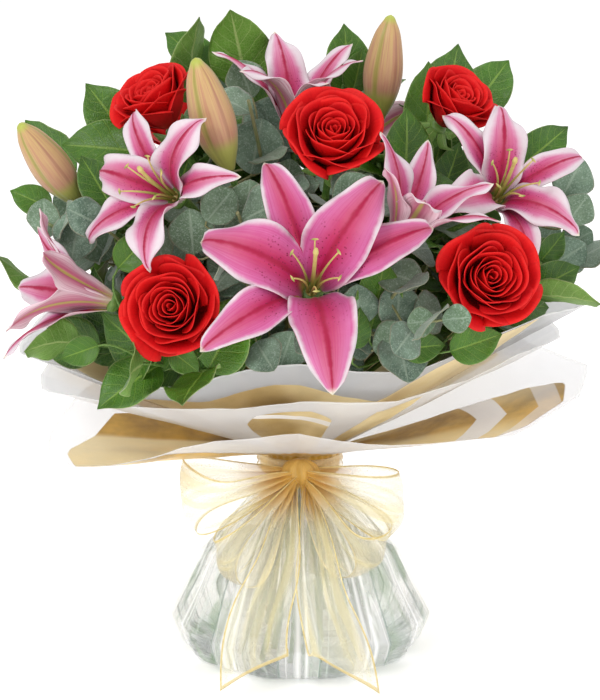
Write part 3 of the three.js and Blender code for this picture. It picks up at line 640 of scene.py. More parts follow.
def eucalyptus_effect():
    """Eucalyptus: two grey-greens under a speckled bloom, faint veins and a brown rim."""
    group = Effect("eucalyptus leaf", **LEAF_TONES)
    _, _, edge = group.blade()
    veins = {"Pairs": 5.0, "Slant": 1.6, "Vein": 0.06, "Rib_Low": 0.03, "Rib_High": 0.08}
    side_veins, midrib = group.effect(LEAF_VEINS, **veins)
    speckle = group.fed("ShaderNodeRGBToBW", {0: group.cells(1300, output="Color")})
    skin = group.layers(
        group["Dark"],
        (group.noise(60, 4, 0.65).span(0.3, 0.7), group["Light"]),
        (group.own() * 0.45, "#617a4c"),
        (speckle.span(0.55, 0.9, 0, 0.3), "#bccdc2"),
        (speckle.span(0.1, 0.3, 0.3, 0), "#4d5f52"),
        (side_veins * 0.3, group["Vein"]),
        (midrib * 0.6, group["Vein"]),
        (edge.span(0.93, 1.0, 0, 0.5), "#8d7f63"),
    )
    return group.giving(Skin=skin, Relief=speckle - side_veins)


def bark_effect():
    """The streaked skin of a green stem or a twig."""
    group = Effect("stem skin", Low="#404040", High="#808080")
    streaks = group.streaks(7, 40, rough=0.6)
    skin = group.layers(
        group["Low"],
        (streaks.span(0.3, 0.7), group["High"]),
        (group.noise(60, 3).span(0.45, 0.75, 0, 0.4), "#54702c"),
    )
    return group.giving(Skin=skin, Relief=streaks)


def paper_effect():
    """Satin paper: cloudy, fibrous and softly folded, with a painted highlight along its folds as strong as
    `Lit` says.
    """
    group = Effect("satin paper", Field="#808080", Shade="#404040", Lit=0.0)
    fibre = group.streaks(900, 60, detail=4, rough=0.7)
    folds = group.streaks(22, 1.6, detail=2)
    # A painted highlight in pale gold along the folds, strongest where Lit is high.
    glow = group["Lit"] + (group.streaks(16, 2.2, detail=2, rough=0.4) - 0.5) * 1.6
    skin = group.layers(
        group["Field"],
        (group.noise(14, 4, 0.6).span(0.35, 0.68), group["Shade"]),
        (glow.span(0.1, 0.9, 0, 0.75), "#fbe8b4"),
    )
    return group.giving(Skin=skin, Fibre=fibre, Relief=fibre * 0.2 + folds * 2.0)


SALAL_SKIN = salal_effect()
EUCALYPTUS_SKIN = eucalyptus_effect()
BARK = bark_effect()
PAPER = paper_effect()

# ---------------------------------------------------------------- materials


def rose_paint():
    paint = Paint("rose petal", 0.68, Specular_IOR_Level=0.16)
    _, along, _ = paint.blade()
    cloud = paint.noise(70, 2, 0.5)
    veins = paint.streaks(46, 4, 9, 4, 0.6)
    # Dark crimson at each petal's foot is painted shade deep in the bloom, and the lighter red at its lip is
    # a painted highlight.
    skin = paint.layers(
        "#86040f",
        (along.span(0.25, 0.85), "#d2111a"),
        (along.span(0.88, 1.0), "#dd2826"),
        (cloud.span(0.35, 0.7, 0, 0.35), "#b90916"),
        (paint.own() * 0.35, "#ec2018"),
        (veins.span(0.4, 0.72, 0, 0.2), "#a30714"),
    )
    paint.bump(veins + paint.noise(240, 2), 0.35, 0.5)
    return paint.finished(skin, Roughness=cloud.span(0.3, 0.7, 0.6, 0.75))


def lily_paint():
    """The inner face: crimson midrib, pink field, white margin, dark spots and a yellow-green throat. `rank`
    says how pale the lily is, from a narrow margin at 0 to a broad soft one at 1."""
    paint = Paint("lily tepal inside", 0.5, Sheen_Weight=0.08, Specular_IOR_Level=0.3)
    _, along, edge = paint.blade()
    pale = paint.own("rank")
    out = edge + (paint.streaks(3, 14, 7, 3, 0.6) - 0.5) * 0.18
    ribs = paint.streaks(40, 2.2, 5, 2)
    margin_from = along.span(0.3, 1.0, pale.span(0, 1, 0.97, 0.9), pale.span(0, 1, 0.84, 0.6))
    spotted = along.span(0.12, 0.2) * along.span(0.42, 0.62, 1, 0) * edge.span(0.55, 0.85, 1, 0)
    spots = paint.cells(1, paint.stretched(17, 40, 3)).span(0.16, 0.27, 1, 0) * spotted
    skin = paint.layers(
        "#b1174f",
        (out.span(0.08, 0.85), "#c05a92"),
        (along.span(0.35, 1.0, 0, pale.span(0, 1, 0.2, 0.75)), "#dca9c4"),
        (ribs.span(0.42, 0.68, 0, 0.4), "#b02a6c"),
        (out.span(0.02, 0.15, 1, 0), "#9d0a3c"),
        ((out - margin_from).span(pale.span(0, 1, -0.09, -0.36), 0.1), "#d3c6cc"),
        (along.span(0.94, 1.0), "#e4e0cc"),
        ((along + edge * 0.16).span(0.1, 0.24, 1, 0), "#a9ad4a"),
        (spots, "#7d0a35"),
    )
    paint.bump(ribs * 0.5 + spots * 0.8 + paint.noise(300, 2), 0.4, 0.6)
    return paint.finished(skin)


def lily_back_paint():
    """The outer face: rose pink with a yellow-green midrib and pale edges."""
    paint = Paint("lily tepal outside", 0.5, Sheen_Weight=0.08, Specular_IOR_Level=0.3)
    _, along, edge = paint.blade()
    streaks = paint.streaks(26, 2.5, 5)
    skin = paint.layers(
        "#b85d7a",
        (edge.span(0.1, 0.9), "#e2c3cd"),
        (streaks.span(0.42, 0.66, 0, 0.5), "#a94a6c"),
        (edge.span(0.04, 0.16, 0.85, 0), "#b7ab58"),
        (along.span(0.02, 0.26, 0.6, 0), "#b5bd6e"),
    )
    paint.bump(streaks, 0.3, 0.5)
    return paint.finished(skin)


def bud_paint():
    """A closed bud: buff and pink, with three green ribs, three seams, and a green foot and tip."""
    paint = Paint("lily bud", 0.42, Sheen_Weight=0.1, Specular_IOR_Level=0.4)
    across, along, _ = paint.blade()
    thrice = paint.math("COSINE", across * (6 * pi))
    streaks = paint.streaks(60, 2.4, rough=0.55)
    skin = paint.layers(
        "#b98a70",
        (along.span(0.15, 0.8), "#bfa068"),
        (streaks.span(0.4, 0.68, 0, 0.7), "#ae7362"),
        ((thrice + streaks * 0.3).span(0.9, 1.2, 0, 0.85), "#908d3e"),
        (thrice.span(-1.0, -0.95, 0.5, 0), "#93624e"),
        (along.span(0.86, 0.97), "#a9b04c"),
        (along.span(0.2, 0.34, 1, 0), "#a5a552"),
    )
    paint.bump(streaks, 0.3, 0.5)
    return paint.finished(skin)


def stem_paint(name, low, high):
    paint = Paint(name, 0.45, Specular_IOR_Level=0.4)
    skin, relief = paint.effect(BARK, Low=low, High=high)
    paint.bump(relief, 0.3, 0.4)
    return paint.finished(skin)


def leaf_paint(name, group, light, dark, vein, finish, raised):
    paint = Paint(name, **finish)
    skin, relief = paint.effect(group, Light=light, Dark=dark, Vein=vein)
    paint.bump(relief, *raised)
    return paint.finished(skin)


def salal_paint(name, light, dark, vein, roughness):
    finish = {"roughness": roughness, "Coat_Weight": 0.15, "Coat_Roughness": 0.3, "Specular_IOR_Level": 0.4}
    return leaf_paint(name, SALAL_SKIN, light, dark, vein, finish, (0.5, 0.5))


def eucalyptus_paint(name, light, dark, vein):
    finish = {"roughness": 0.62, "Sheen_Weight": 0.3, "Sheen_Roughness": 0.6, "Specular_IOR_Level": 0.3}
    return leaf_paint(name, EUCALYPTUS_SKIN, light, dark, vein, finish, (0.2, 0.3))


def stamen_paint():
    paint = Paint("filament", 0.45)
    _, along, _ = paint.blade()
    blush = paint.noise(200, 3).span(0.5, 0.75, 0, 0.5)
    return paint.finished(paint.layers("#7f8a35", (along.span(0.1, 0.9), "#c3b46a"), (blush, "#a8763f")))


def paper_paint(name, field, shade, trim, borders, bands=(), opaque=1.0, satin=0.15, clear=0.5,
                lit=((0, 0.35), (180, 1))):
    """Wrapping paper: a satin coloured panel with a pale see-through border along its cut edge. `borders` are
    rows of azimuth and the border's width there, as a share of the sheet's length. `bands` are frosted strips
    over the panel, each from one (azimuth, share) to another, with a half width and a strength. `lit` says
    how strong the painted highlight along the paper's folds is, azimuth by azimuth."""
    # The faint glow in the paper's own colour is painted light, lifting the paper where the blooms shade it.
    paint = Paint(name, 0.42, Sheen_Weight=0.1, Specular_IOR_Level=0.5, Emission_Strength=0.11)
    across, along, _ = paint.blade()
    panel, fibre, relief = paint.effect(PAPER, Field=field, Shade=shade, Lit=paint.ramp(across, lit))
    bordered = (along - (1.0 - paint.ramp(across, borders))).span(-0.003, 0.003)
    veiled = bordered
    for (from_azimuth, from_share), (to_azimuth, to_share), half, strength in bands:
        low, high = (from_azimuth + 180) / 360, (to_azimuth + 180) / 360
        off = abs(along - across.span(low, high, from_share, to_share, smooth=False))
        strip = off.span(half - 0.004, half + 0.002, strength, 0)
        within = across.span(low, low + 0.002) * across.span(high - 0.002, high, 1, 0)
        veiled = paint.math("MAXIMUM", veiled, strip * within)
    skin = paint.layers(panel, (veiled, trim), (along.span(0.985, 0.995, 0, 0.7), "#f7f6f4"))
    paint.bump(relief, 0.35, 1.5)
    return paint.finished(
        skin,
        Emission_Color=skin,
        Roughness=fibre.span(0.3, 0.7, 0.34, 0.5),
        Metallic=veiled.span(0, 1, satin, 0),
        Alpha=bordered.span(0, 1, opaque, clear),
    )


def organza_paint():
    """Sheer pale gold organza, fuller and more golden where it is gathered at the knot."""
    paint = Paint("organza", 0.38, Sheen_Weight=0.6, Sheen_Roughness=0.3, Specular_IOR_Level=0.6)
    across, along, edge = paint.blade()
    near = paint.own("rank")
    weave = (across * 60).zigzag(0.5) + (along * 260).zigzag(0.5)
    folds = paint.streaks(6, 1.4, 4, 2)
    cut = along.span(0.975, 0.985) * near.span(0.05, 0.2, 1, 0)
    hem = paint.math("MAXIMUM", edge.span(0.93, 0.98), cut)
    skin = paint.layers(
        "#fffae2",
        # The deeper cream in the soft folds is painted shade, where the cloth is also less sheer.
        (folds.span(0.35, 0.7), "#f4e8b6"),
        (near.span(0.3, 0.95), "#e8b020"),
        (hem, "#e2cb82"),
        (weave.span(0.1, 0.9, 0.2, 0), "#fffbea"),
    )
    sheer = folds.span(0.35, 0.7, 0.14, 0.34) + near.span(0.3, 1.0, 0, 0.45)
    firm = paint.math("ADD", sheer, hem * 0.4, clamp=True)
    glint = paint.noise(900, 1, 0.5).span(0.6, 0.8, 0, 0.2)
    paint.bump(weave + folds, 0.25, 0.3)
    return paint.finished(skin, Alpha=paint.math("ADD", firm, glint, clamp=True))


def wire_paint():
    paint = Paint("ribbon edge", 0.4, Metallic=0.2)
    return paint.finished(paint.layers("#d2ba74", (paint.noise(300, 2).span(0.3, 0.7), "#eee0aa")))


def film_paint():
    """Clear film in flat pleats, almost unseen between them: one face of each pleat is painted lighter, with
    a painted highlight along its crest and a painted shadow line where the faces meet.
    """
    paint = Paint("clear film", 0.1, Coat_Weight=0.8, Coat_Roughness=0.04, Specular_IOR_Level=0.9)
    across, _, _ = paint.blade()
    creases = paint.streaks(26, 0.9, detail=2)
    pleats = (across * (PLEATS * 2.0) + (creases - 0.5) * 0.5).zigzag(1.0)
    # Painted light on the pleats: a lighter, milkier face, a highlight along the crest, and a shadow line
    # between the faces.
    lit_facet = pleats.span(0.48, 0.56)
    ridge_highlight = abs(pleats - 0.86).span(0.0, 0.1, 1, 0)
    shadow = abs(pleats - 0.5).span(0.012, 0.03, 1, 0)
    lines = abs(creases - 0.5).span(0.0, 0.012, 0.2, 0)
    haze = paint.noise(16, 3, 0.5).span(0.35, 0.7, 0.03, 0.16) + lit_facet.span(0, 1, 0.02, 0.16)
    seen = paint.math("ADD", haze + ridge_highlight * 0.45, lines + shadow * 0.35, clamp=True)
    paint.bump(creases, 0.5, 4.0)
    return paint.finished(paint.layers("#e3ebe6", (lit_facet, "#fdfefe"), (shadow, "#9aaaa2")), Alpha=seen)


def water_paint():
    """Water with the green of the stems spread through it in soft upright streaks."""
    paint = Paint("water", 0.04, Specular_IOR_Level=0.6, IOR=1.33)
    cloud = paint.noise(22, 2, 0.5)
    upright = paint.fed("ShaderNodeVectorMath", {0: paint.place(), 1: (48, 48, 7)}, operation="MULTIPLY")
    green = paint.noise(1, 2, 0.5, upright).span(0.5, 0.6)
    skin = paint.layers("#f1f8f3", (cloud.span(0.3, 0.7), "#c4dac8"), (green, "#5f8f42"))
    return paint.finished(skin, Alpha=cloud.span(0.3, 0.7, 0.03, 0.1) + green * 0.42)


def twine_paint():
    paint = Paint("twine", 0.85)
    strands = paint.streaks(500, 14, detail=4, rough=0.7)
    paint.bump(strands, 0.8, 0.6)
    return paint.finished(paint.layers("#7d6238", (strands.span(0.3, 0.7), "#c2a672")))


def floor_paint():
    glow = {"Emission_Strength": 0.3, "Emission_Color": (1, 1, 1, 1)}
    paint = Paint("pale floor", 0.6, Specular_IOR_Level=0.2, **glow)
    return paint.finished(paint.layers("#fcfcfb", (paint.noise(3, 3).span(0.3, 0.7), "#f9f9f8")))


ROSE = rose_paint()
LILY = lily_paint()
LILY_BACK = lily_back_paint()
BUD = bud_paint()
STEM = stem_paint("stem", "#3f6b26", "#79964a")
TWIG_SKIN = stem_paint("eucalyptus twig", "#6d7a52", "#9a8f66")
LEAF = salal_paint("salal leaf", "#396a10", "#173e08", "#7c9e3c", 0.36)
LEAF_BACK = salal_paint("salal underside", "#6f9840", "#557d2c", "#9db36a", 0.62)
GUM_LEAF = eucalyptus_paint("eucalyptus leaf", "#738c78", "#48624f", "#93a591")
GUM_BACK = eucalyptus_paint("eucalyptus underside", "#8ba294", "#6c8472", "#a6b5a6")
FILAMENT = stamen_paint()
TAN = paper_paint("tan paper", "#b89a60", "#987c48", "#c6c5c6", [
    (-180, 0.09), (-100, 0.09), (-80, 0.3), (-62, 0.3), (-44, 0.16), (-34, 0.2), (-8, 0.15), (28, 0.3),
    (38, 0.12), (48, 0.03), (62, 0.03), (70, 0.3), (100, 0.3), (112, 0.09), (180, 0.09),
])
FROST = paper_paint("frosted film", "#a98a48", "#84682c", "#e2e1e2", [
    (-180, 1.0), (-27, 1.0), (-23, 0.3), (-16, 0.14), (4, 0.16), (14, 0.3), (18, 1.0), (26, 1.0), (28, 0.16),
    (38, 0.08), (41, 0.3), (43, 1.0), (180, 1.0),
], [((-24, 0.9), (16, 0.62), 0.03, 0.8)], 0.95, 0.1, 0.46)
GOLD = paper_paint("gold paper", "#d9ab42", "#84601a", "#f0eff1", [
    (-180, 0.12), (-112, 0.12), (-109, 0.6), (-105, 0.2), (-90, 0.18), (-80, 0.12), (-70, 0.05), (-56, 0.02),
    (-42, 0.02), (-38, 0.7), (38, 0.7), (44, 0.25), (56, 0.1), (66, 0.04), (84, 0.07), (87, 0.14), (89, 0.85),
    (104, 0.85), (112, 0.12), (180, 0.12),
], [((54, 0.83), (90, 0.6), 0.055, 0.85), ((60, 0.97), (90, 0.83), 0.04, 0.45)], 1.0, 0.12, 0.42, [
    # The rows below place the gold's painted highlight on its folds: none from -104 to -93, most from -87 to
    # -62 and at 62.
    (-180, 0.4), (-110, 0.3), (-104, 0), (-93, 0), (-87, 1), (-62, 0.8), (-45, 0.2), (45, 0.1), (62, 0.9),
    (72, 0.1), (82, 0.3), (100, 0.6), (180, 0.4),
])
ORGANZA = organza_paint()
WIRE = wire_paint()
CLEAR = film_paint()
WATER = water_paint()
TWINE = twine_paint()

# ---------------------------------------------------------------- pack, water, twine

WATER_FILL = 74
CLEAR_OF_FILM = 2.4


def on_wall(height):
    """The pack's radius and the depth of its pleats, on straight lines between the corners of its wall."""
    for (z0, r0, d0), (z1, r1, d1) in zip(PACK_WALL, PACK_WALL[1:]):
        if height <= z1:
            up, whole = height - z0, z1 - z0
            return r0 + (r1 - r0) * up / whole, d0 + (d1 - d0) * up / whole
    return PACK_WALL[-1][1:]


def pleat(angle, height):
    """The share by which a pleat moves the film in or out, from the wall row at that height."""
    return 1 + on_wall(height)[1] * cos(PLEATS * angle)


def film_pack():
    making = Making("water_pack_clear_film")
    heights = [0, 0.6, 1.6, 3, 5, 7.5, 11, 15, 20, 25] + [25 + 127 * k / 44 for k in range(1, 45)]
    last = len(heights) - 1

    def gathered(angle, height):
        """Sharp gathers that run from the base up to the tie, a little uneven."""
        folds = cos(PLEATS * angle)
        flat = asin(0.97 * folds) / asin(0.97) - folds
        fine = 0.4 * cos(23 * angle + 2 * sin(height / 31)) + 0.3 * cos(37 * angle + height / 17)
        crease = abs(ripple((cos(angle) * 3, sin(angle) * 3, height / 60), 0.6, 3))
        depth = 0.012 * ease(4, 60, height) * (1 - ease(118, 132, height))
        held = ease(2, 12, height) * (1 - ease(120, 134, height))
        sharp = 0.05 * flat * held
        soft = depth * (1 + fine * 0.5 - abs(folds) * 0.4)
        return pleat(angle, height) + sharp - soft - 0.02 * crease * held

    def middle(u, v):
        angle = pi * u
        height = heights[round(v * last)]
        radius = (on_wall(height)[0] - FILM * 0.5) * gathered(angle, height)
        return STAND.place(angle, radius, max(height, FILM * 0.5))

    making.blade(middle, 240, last)
    making.merge(near=1e-5)
    rim = [e for e in making.bm.edges if e.is_boundary and e.verts[0].co.z < 0.002]
    base = bmesh.ops.holes_fill(making.bm, edges=rim, sides=0)["faces"]
    bmesh.ops.poke(making.bm, faces=base)
    making.finished([CLEAR], "clear_film", ["water_pack_film"], thick=0.5)


def water():
    """The water up to its fill line, lying against the film."""
    making = Making("pack_water_body")
    heights = [1.6, 2.4, 4, 6, 8, 12, 18, 24] + [24 + (WATER_FILL - 24) * k / 16 for k in range(1, 17)]
    rows = [(0, heights[0])] + [(on_wall(z)[0] - FILM - CLEAR_OF_FILM, z) for z in heights]
    rows += [(0.6 * on_wall(WATER_FILL)[0], WATER_FILL - 0.6), (0, WATER_FILL - 0.6)]
    making.turned(STAND, rows, 120, lambda angle: pleat(angle, 30))
    making.finished([WATER], "water", ["pack_water"])


def twine():
    making = Making("stem_twine_turns")
    turns, steps = 4, 36
    thread = TWINE_THICKNESS / 2
    radius = TWINE_RADIUS + thread
    places = []
    for k in range(turns * steps + 1):
        a = 2 * pi * k / steps
        height = TIE_HEIGHT - TWINE_HEIGHT / 2 + 1 + (TWINE_HEIGHT - 2) * k / (turns * steps)
        places.append(Vector((radius * cos(a), radius * sin(a), height)))
    making.tube(places, [thread] * len(places), 10)
    making.finished([TWINE], "twine", ["stem_twine"])


# ---------------------------------------------------------------- wraps

GATHERED = 0.15
GATHERS = 34


def rim_at(rim, azimuth):
    corners = rim + [(rim[0][0] + 360, rim[0][1], rim[0][2])]
    for (a0, r0, z0), (a1, r1, z1) in zip(corners, corners[1:]):
        if azimuth < a1:
            share = (azimuth - a0) / (a1 - a0)
            return r0 + (r1 - r0) * share, z0 + (z1 - z0) * share
    return rim[0][1:]


def wrap(name, material, slot, seed):
    """A sheet of wrap: gathered at the tie, then flaring in flat creased folds to its straight cut edges."""
    neck, flare, rim = WRAPS[name]
    making = Making(name + "_sheet")
    steps = 4 * WRAP_PLEATS

    def chord(azimuth, out):
        reach, height = rim_at(rim, azimuth)
        radius = neck + (reach - neck) * out
        wave = WRAP_WAVE * (radius - neck) * cos(radians(WRAP_PLEATS * azimuth))
        return polar(azimuth, radius, flare + (height - flare) * out + wave)

    def middle(u, v):
        azimuth = -180 + ((u + 1) * 180) % 360
        gather = cos(radians(GATHERS * azimuth))
        if v < GATHERED:
            return polar(azimuth, neck + 0.35 * gather, NECK_FOOT + (flare - NECK_FOOT) * v / GATHERED)
        out = (v - GATHERED) / (1 - GATHERED)
        corner = int((azimuth + 180) / 360 * steps)
        share = (azimuth + 180) / 360 * steps - corner
        a0 = -180 + 360 * corner / steps
        a1 = -180 + (360 * (corner + 1) / steps) % 360
        flat = chord(a0, out).lerp(chord(a1, out), share)
        place = flat.lerp(chord(azimuth, out), 0.2)
        grown = ease(0.02, 0.5, out)
        way = Vector((place.x, place.y, 0)).normalized()
        gathers = gather * (1 - ease(0.0, 0.35, out)) * 0.9
        crumple = ripple(place, 70, seed) * 2.6 + abs(ripple(place, 34, seed + 5)) * 1.6
        place.z += (crumple - 0.8) * grown - 0.3 * gathers
        creased = ripple(place, 44, seed + 9) * 1.0 * grown * (1 - ease(0.8, 1, out))
        return place + way * (creased + gathers * 0.4)

    making.blade(middle, 360, 44)
    making.merge(near=1e-5)
    making.finished([material], slot, [name], thick=0.35)


# ---------------------------------------------------------------- ribbon

LOOP_NAMES = ("upper_left", "upper_right", "lower_left", "lower_right")
WIRE_STEPS = 60
WIRE_RADIUS = 0.32


def ribbon_strip(name, middle, centre, width, near, ends=(0.02, 0.98)):
    """A length of ribbon with its two wired edges."""
    strip = Making(name)
    strip.blade(middle, 28, 72, own=random.random(), rank=near)
    piece = strip.finished([ORGANZA], "organza", ["ribbon_bow"], thick=0.25, clean=False)
    edges = Making(name + "_wires")
    for u in (-1, 1):
        line = [middle(u, ends[0] + (ends[1] - ends[0]) * k / WIRE_STEPS) for k in range(WIRE_STEPS + 1)]
        edges.tube(line, [WIRE_RADIUS] * len(line), 6, rank=u)
    wires = edges.finished([WIRE], "organza", ["ribbon_bow"])
    run = length_of(even(centre, WIRE_STEPS))
    2 * width * MM


def ribbon_loop(number, azimuth, elevation, length, width, opened):
    way = Head((0, 0, 0), azimuth, elevation)

    def middle(u, v):
        bulge = max(0, sin(pi * v))
        pinch = 0.1 + 0.9 * bulge ** 0.7
        held = ease(0, 0.06, v) * ease(0, 0.06, 1 - v)
        fold = sin(u * 11 + number) * 4.2 * (1 - bulge) + sin(u * 4 + 2.3 * number + 3 * v) * 2.4
        flutter = 4.2 * sin(8.5 * v + 1.9 * number + 1.6 * u) * u * u * bulge
        reach = length * bulge ** 0.72 - (9 + 2.5 * sin(3 * number)) * u * u * bulge
        reach += 2.6 * sin(7 * v + number) * u * bulge
        side = -opened * 1.2 * sin(2 * pi * v) - 3.5 * (1 - 2 * v) + (fold + flutter) * held
        spread = u * width * pinch * (1 + 0.08 * sin(5 * v + 2 * number))
        lift = 4.0 * sin(2 * pi * v + number) * bulge
        return KNOT + way.axis * reach + way.right * side + way.top * (spread + lift)

    def near(u, v):
        return max(0, 1 - 4.5 * min(v, 1 - v))

    ribbon_strip("ribbon_loop_" + LOOP_NAMES[number], middle, lambda v: middle(0, v), width, near)


def ribbon_tail(number, line, width):
    path = catmull(line)

    def middle(u, v):
        spread = u * width * (0.12 + 0.88 * sin(v * pi * 0.5))
        slant = (10 * (u + 0.9), -14 * (u - 0.85))[number] * ease(0.8, 1, v)
        ruck = 4.2 * sin(u * 2.6 + 1.3 * number + v * 3) * (1 - 0.3 * v) + 5 * sin(11 * u) * (1 - v) ** 2
        ruck *= ease(0, 0.06, v)
        curl = 4.5 * sin(v * 8 + number * 2) * u * ease(0.1, 0.5, v)
        spread += 4.0 * sin(v * 6.5 + 1.4 * number) * ease(0.15, 0.6, v)
        drop = slant + 2 * sin(v * 7 + u * 2) * ease(0.1, 0.6, v)
        return path(v) + Vector((spread, ruck + curl + 2.0, drop))

    def near(u, v):
        return max(0, 1 - 2.6 * v)

    ribbon_strip("ribbon_tail_" + ("left", "right")[number], middle, path, width, near, (0.02, 1))


def ribbon_knot():
    """The knot, and the band round the neck that it sits on."""
    knot = Making("ribbon_knot")
    half, steps = 10, 16
    arc = [(sin(pi * k / steps), -half * cos(pi * k / steps)) for k in range(1, steps)]
    rows = [(0.01, -half)] + arc + [(0.01, half)]

    def lump(u, v):
        radius, height = rows[round(v * steps)]
        angle = pi * u
        creases = 1 + 0.08 * cos(9 * angle + height * 0.12) + 0.06 * cos(5 * angle)
        creases += 0.09 * abs(sin(7 * angle + 0.05 * height)) * abs(height) / 10 - 0.04
        return KNOT + Vector((13 * radius * cos(angle) * creases, 9 * radius * sin(angle) * creases, height))

    knot.blade(lump, 120, steps, rank=0.9)
    knot.merge(near=2e-5)
    inside, thickness, foot, top = BAND

    def band(u, v):
        angle = pi * u
        radius = inside + thickness + 0.5 * sin(v * 16 + 1.5 * sin(3 * angle))
        return Vector((radius * cos(angle), radius * sin(angle), foot + (top - foot) * v))

    knot.blade(band, 90, 10, rank=0.6)
    knot.finished([ORGANZA], "organza", ["ribbon_bow"], thick=0.4)


# ---------------------------------------------------------------- roses

ROSE_DRAWN = 72
HEART_PETALS = 17
GOLDEN = 2.39996
# Outer layers of petals: how many, radius, height, span, flare and curl, then the second petal by each: how
# far it is turned, how its radius, height, span and flare differ, and its own curl and rank.
OUTER_PETALS = [
    (3, 21, 46, 61, 2, 2.2, (1.05, 3.4, -1.5, -6, 2, 2.6, 0.8)),
    (4, 29, 41, 47, 8, 3.4, (0.72, -1.6, 1, 0, -3, 3.0, 0.9)),
]
SEPALS = 5


def rose(name, row, seed):
    """A rose: a spiral of petals in its heart, and two layers of broad petals round it."""
    _, _, seat, azimuth, elevation, width = row
    head = Head(seat, azimuth, elevation)
    size = width / ROSE_DRAWN
    making = Making(name + "_petals")
    dice = random.Random(seed)

    def petal(angle, radius, height, span, flare, curl, rank):
        own = dice.random()
        phase = dice.random() * 6.3
        pinch = dice.uniform(0.6, 1.3)

        def middle(u, v):
            belly = 0.24 + 0.76 * sin(min(1, v * 1.25) * pi * 0.5)
            lip = max(0, v - 0.6) / 0.4
            rolled = ease(0.72, 1, v)
            out = radius * belly * (1 + 0.085 * u) + flare * lip * lip
            lobes = 3 * pinch * u * u * (1 - u * u)
            out += curl * rolled * (0.5 + lobes)
            closing = (0.3 - 0.3 * min(1, radius / 20)) * ease(0.5, 1, v)
            out *= (1 - closing) * (0.93 if radius > 19 else 1)
            rise = height * v - (9 + flare * 0.4) * abs(u) ** 3.4 * v * v - 0.35 * flare * lip * lip + 4
            rise -= max(0, curl) * 0.55 * rolled * rolled * (0.3 + lobes)
            rise += 1.6 * (1 - abs(u)) ** 2 * ease(0.8, 1, v)
            wave = 0.9 * sin(5 * u + phase) * ease(0.55, 1, v) * min(1, radius / 16)
            return head.place(angle + u * radians(span), (out + wave) * size, rise * size)

        making.blade(middle, 20, 16, own, rank)

    for k in range(HEART_PETALS):
        share = k / (HEART_PETALS - 1)
        radius = 1.8 + 16.5 * share ** 0.85
        form = (37 + 8 * share, 112 - 52 * share, 0.4 + 1.6 * share, 0.4 + 1.4 * share)
        petal(k * GOLDEN + seed, radius, *form, share * 0.5)
    for layer, (count, radius, height, span, flare, curl, second) in enumerate(OUTER_PETALS):
        turn, wider, higher, broader, flatter, *finish = second
        for k in range(count):
            angle = 2 * pi * (k + 0.37 * layer) / count
            petal(angle, radius, height, span, flare, curl, 0.7 + 0.3 * layer)
            form = (radius + wider, height + higher, span + broader, flare + flatter, *finish)
            petal(angle + turn, *form)
    making.finished([ROSE], "rose_petal", [name], thick=0.45)


def rose_stem(name, row):
    ring, slot, seat, azimuth, elevation, _ = row
    head = Head(seat, azimuth, elevation)
    node = name + "_stem"
    end = head.seat - head.axis * 4
    making = Making(node + "_wood")
    stem_tube(making, matched_stem(node, ring, slot, end, head.axis, ROSE_STEM), ROSE_STEM)
    hip = [(0.01, -13), (2.5, -12.6), (3.4, -10), (5.2, -6), (6, -3), (5.6, -1), (4, 0), (0.01, 0)]
    making.turned(head, hip, 20)
    making.finished([STEM], "green_stem", [node])
    calyx = Making(node + "_sepals")
    for k in range(SEPALS):
        angle = radians(54 + 360 / SEPALS * k)

        def middle(u, v):
            half = 4.3 * sin(pi * min(1, v * 0.93 + 0.07) ** 0.7) ** 0.8
            side = u * half
            along = -2.5 - 6.5 * ease(0, 0.6, v) + 5.5 * v ** 3 - 0.1 * side ** 2
            return head.place(angle, 3.5 + 17 * v, along) + head.aside(angle) * side

        calyx.blade(middle, 8, 14, own=0.2 * k)
    calyx.finished([LEAF, LEAF_BACK], "green_stem", [node], thick=0.5)


# ---------------------------------------------------------------- lilies

# How pale each lily is, from a narrow white margin to a broad one.
PALE = {"lily_front": 0.22, "lily_back": 0.4, "lily_half_right": 0.7, "lily_half_left": 0.8}


def tepal_line(length, opened, flare, broad, share, steps=24):
    """How far out and along a tepal's midrib is at a share of its length, and how it slopes there."""
    out, along = (3.2, 0.4) if broad else (5.4, 1.5)
    base = 6 if broad else 15

    def slope(s):
        return radians(base + 5 * opened + (40 + 76 * opened) * flare * s ** 1.25)

    for k in range(steps):
        s = (k + 0.5) / steps * share
        out += sin(slope(s)) * length * share / steps
        along += cos(slope(s)) * length * share / steps
    return out, along, slope(share)


def tepal_arch(name, head, length, opened, broad, points):
    """The flare and swing that the plain tepal took."""
    for flare, swing in ARCHES:
        out, along, _ = tepal_line(length, opened, flare, broad, 1)
        if has_tip(name, head.place(radians(points + swing), out, along)):
            return flare, swing
    return ARCHES[0]


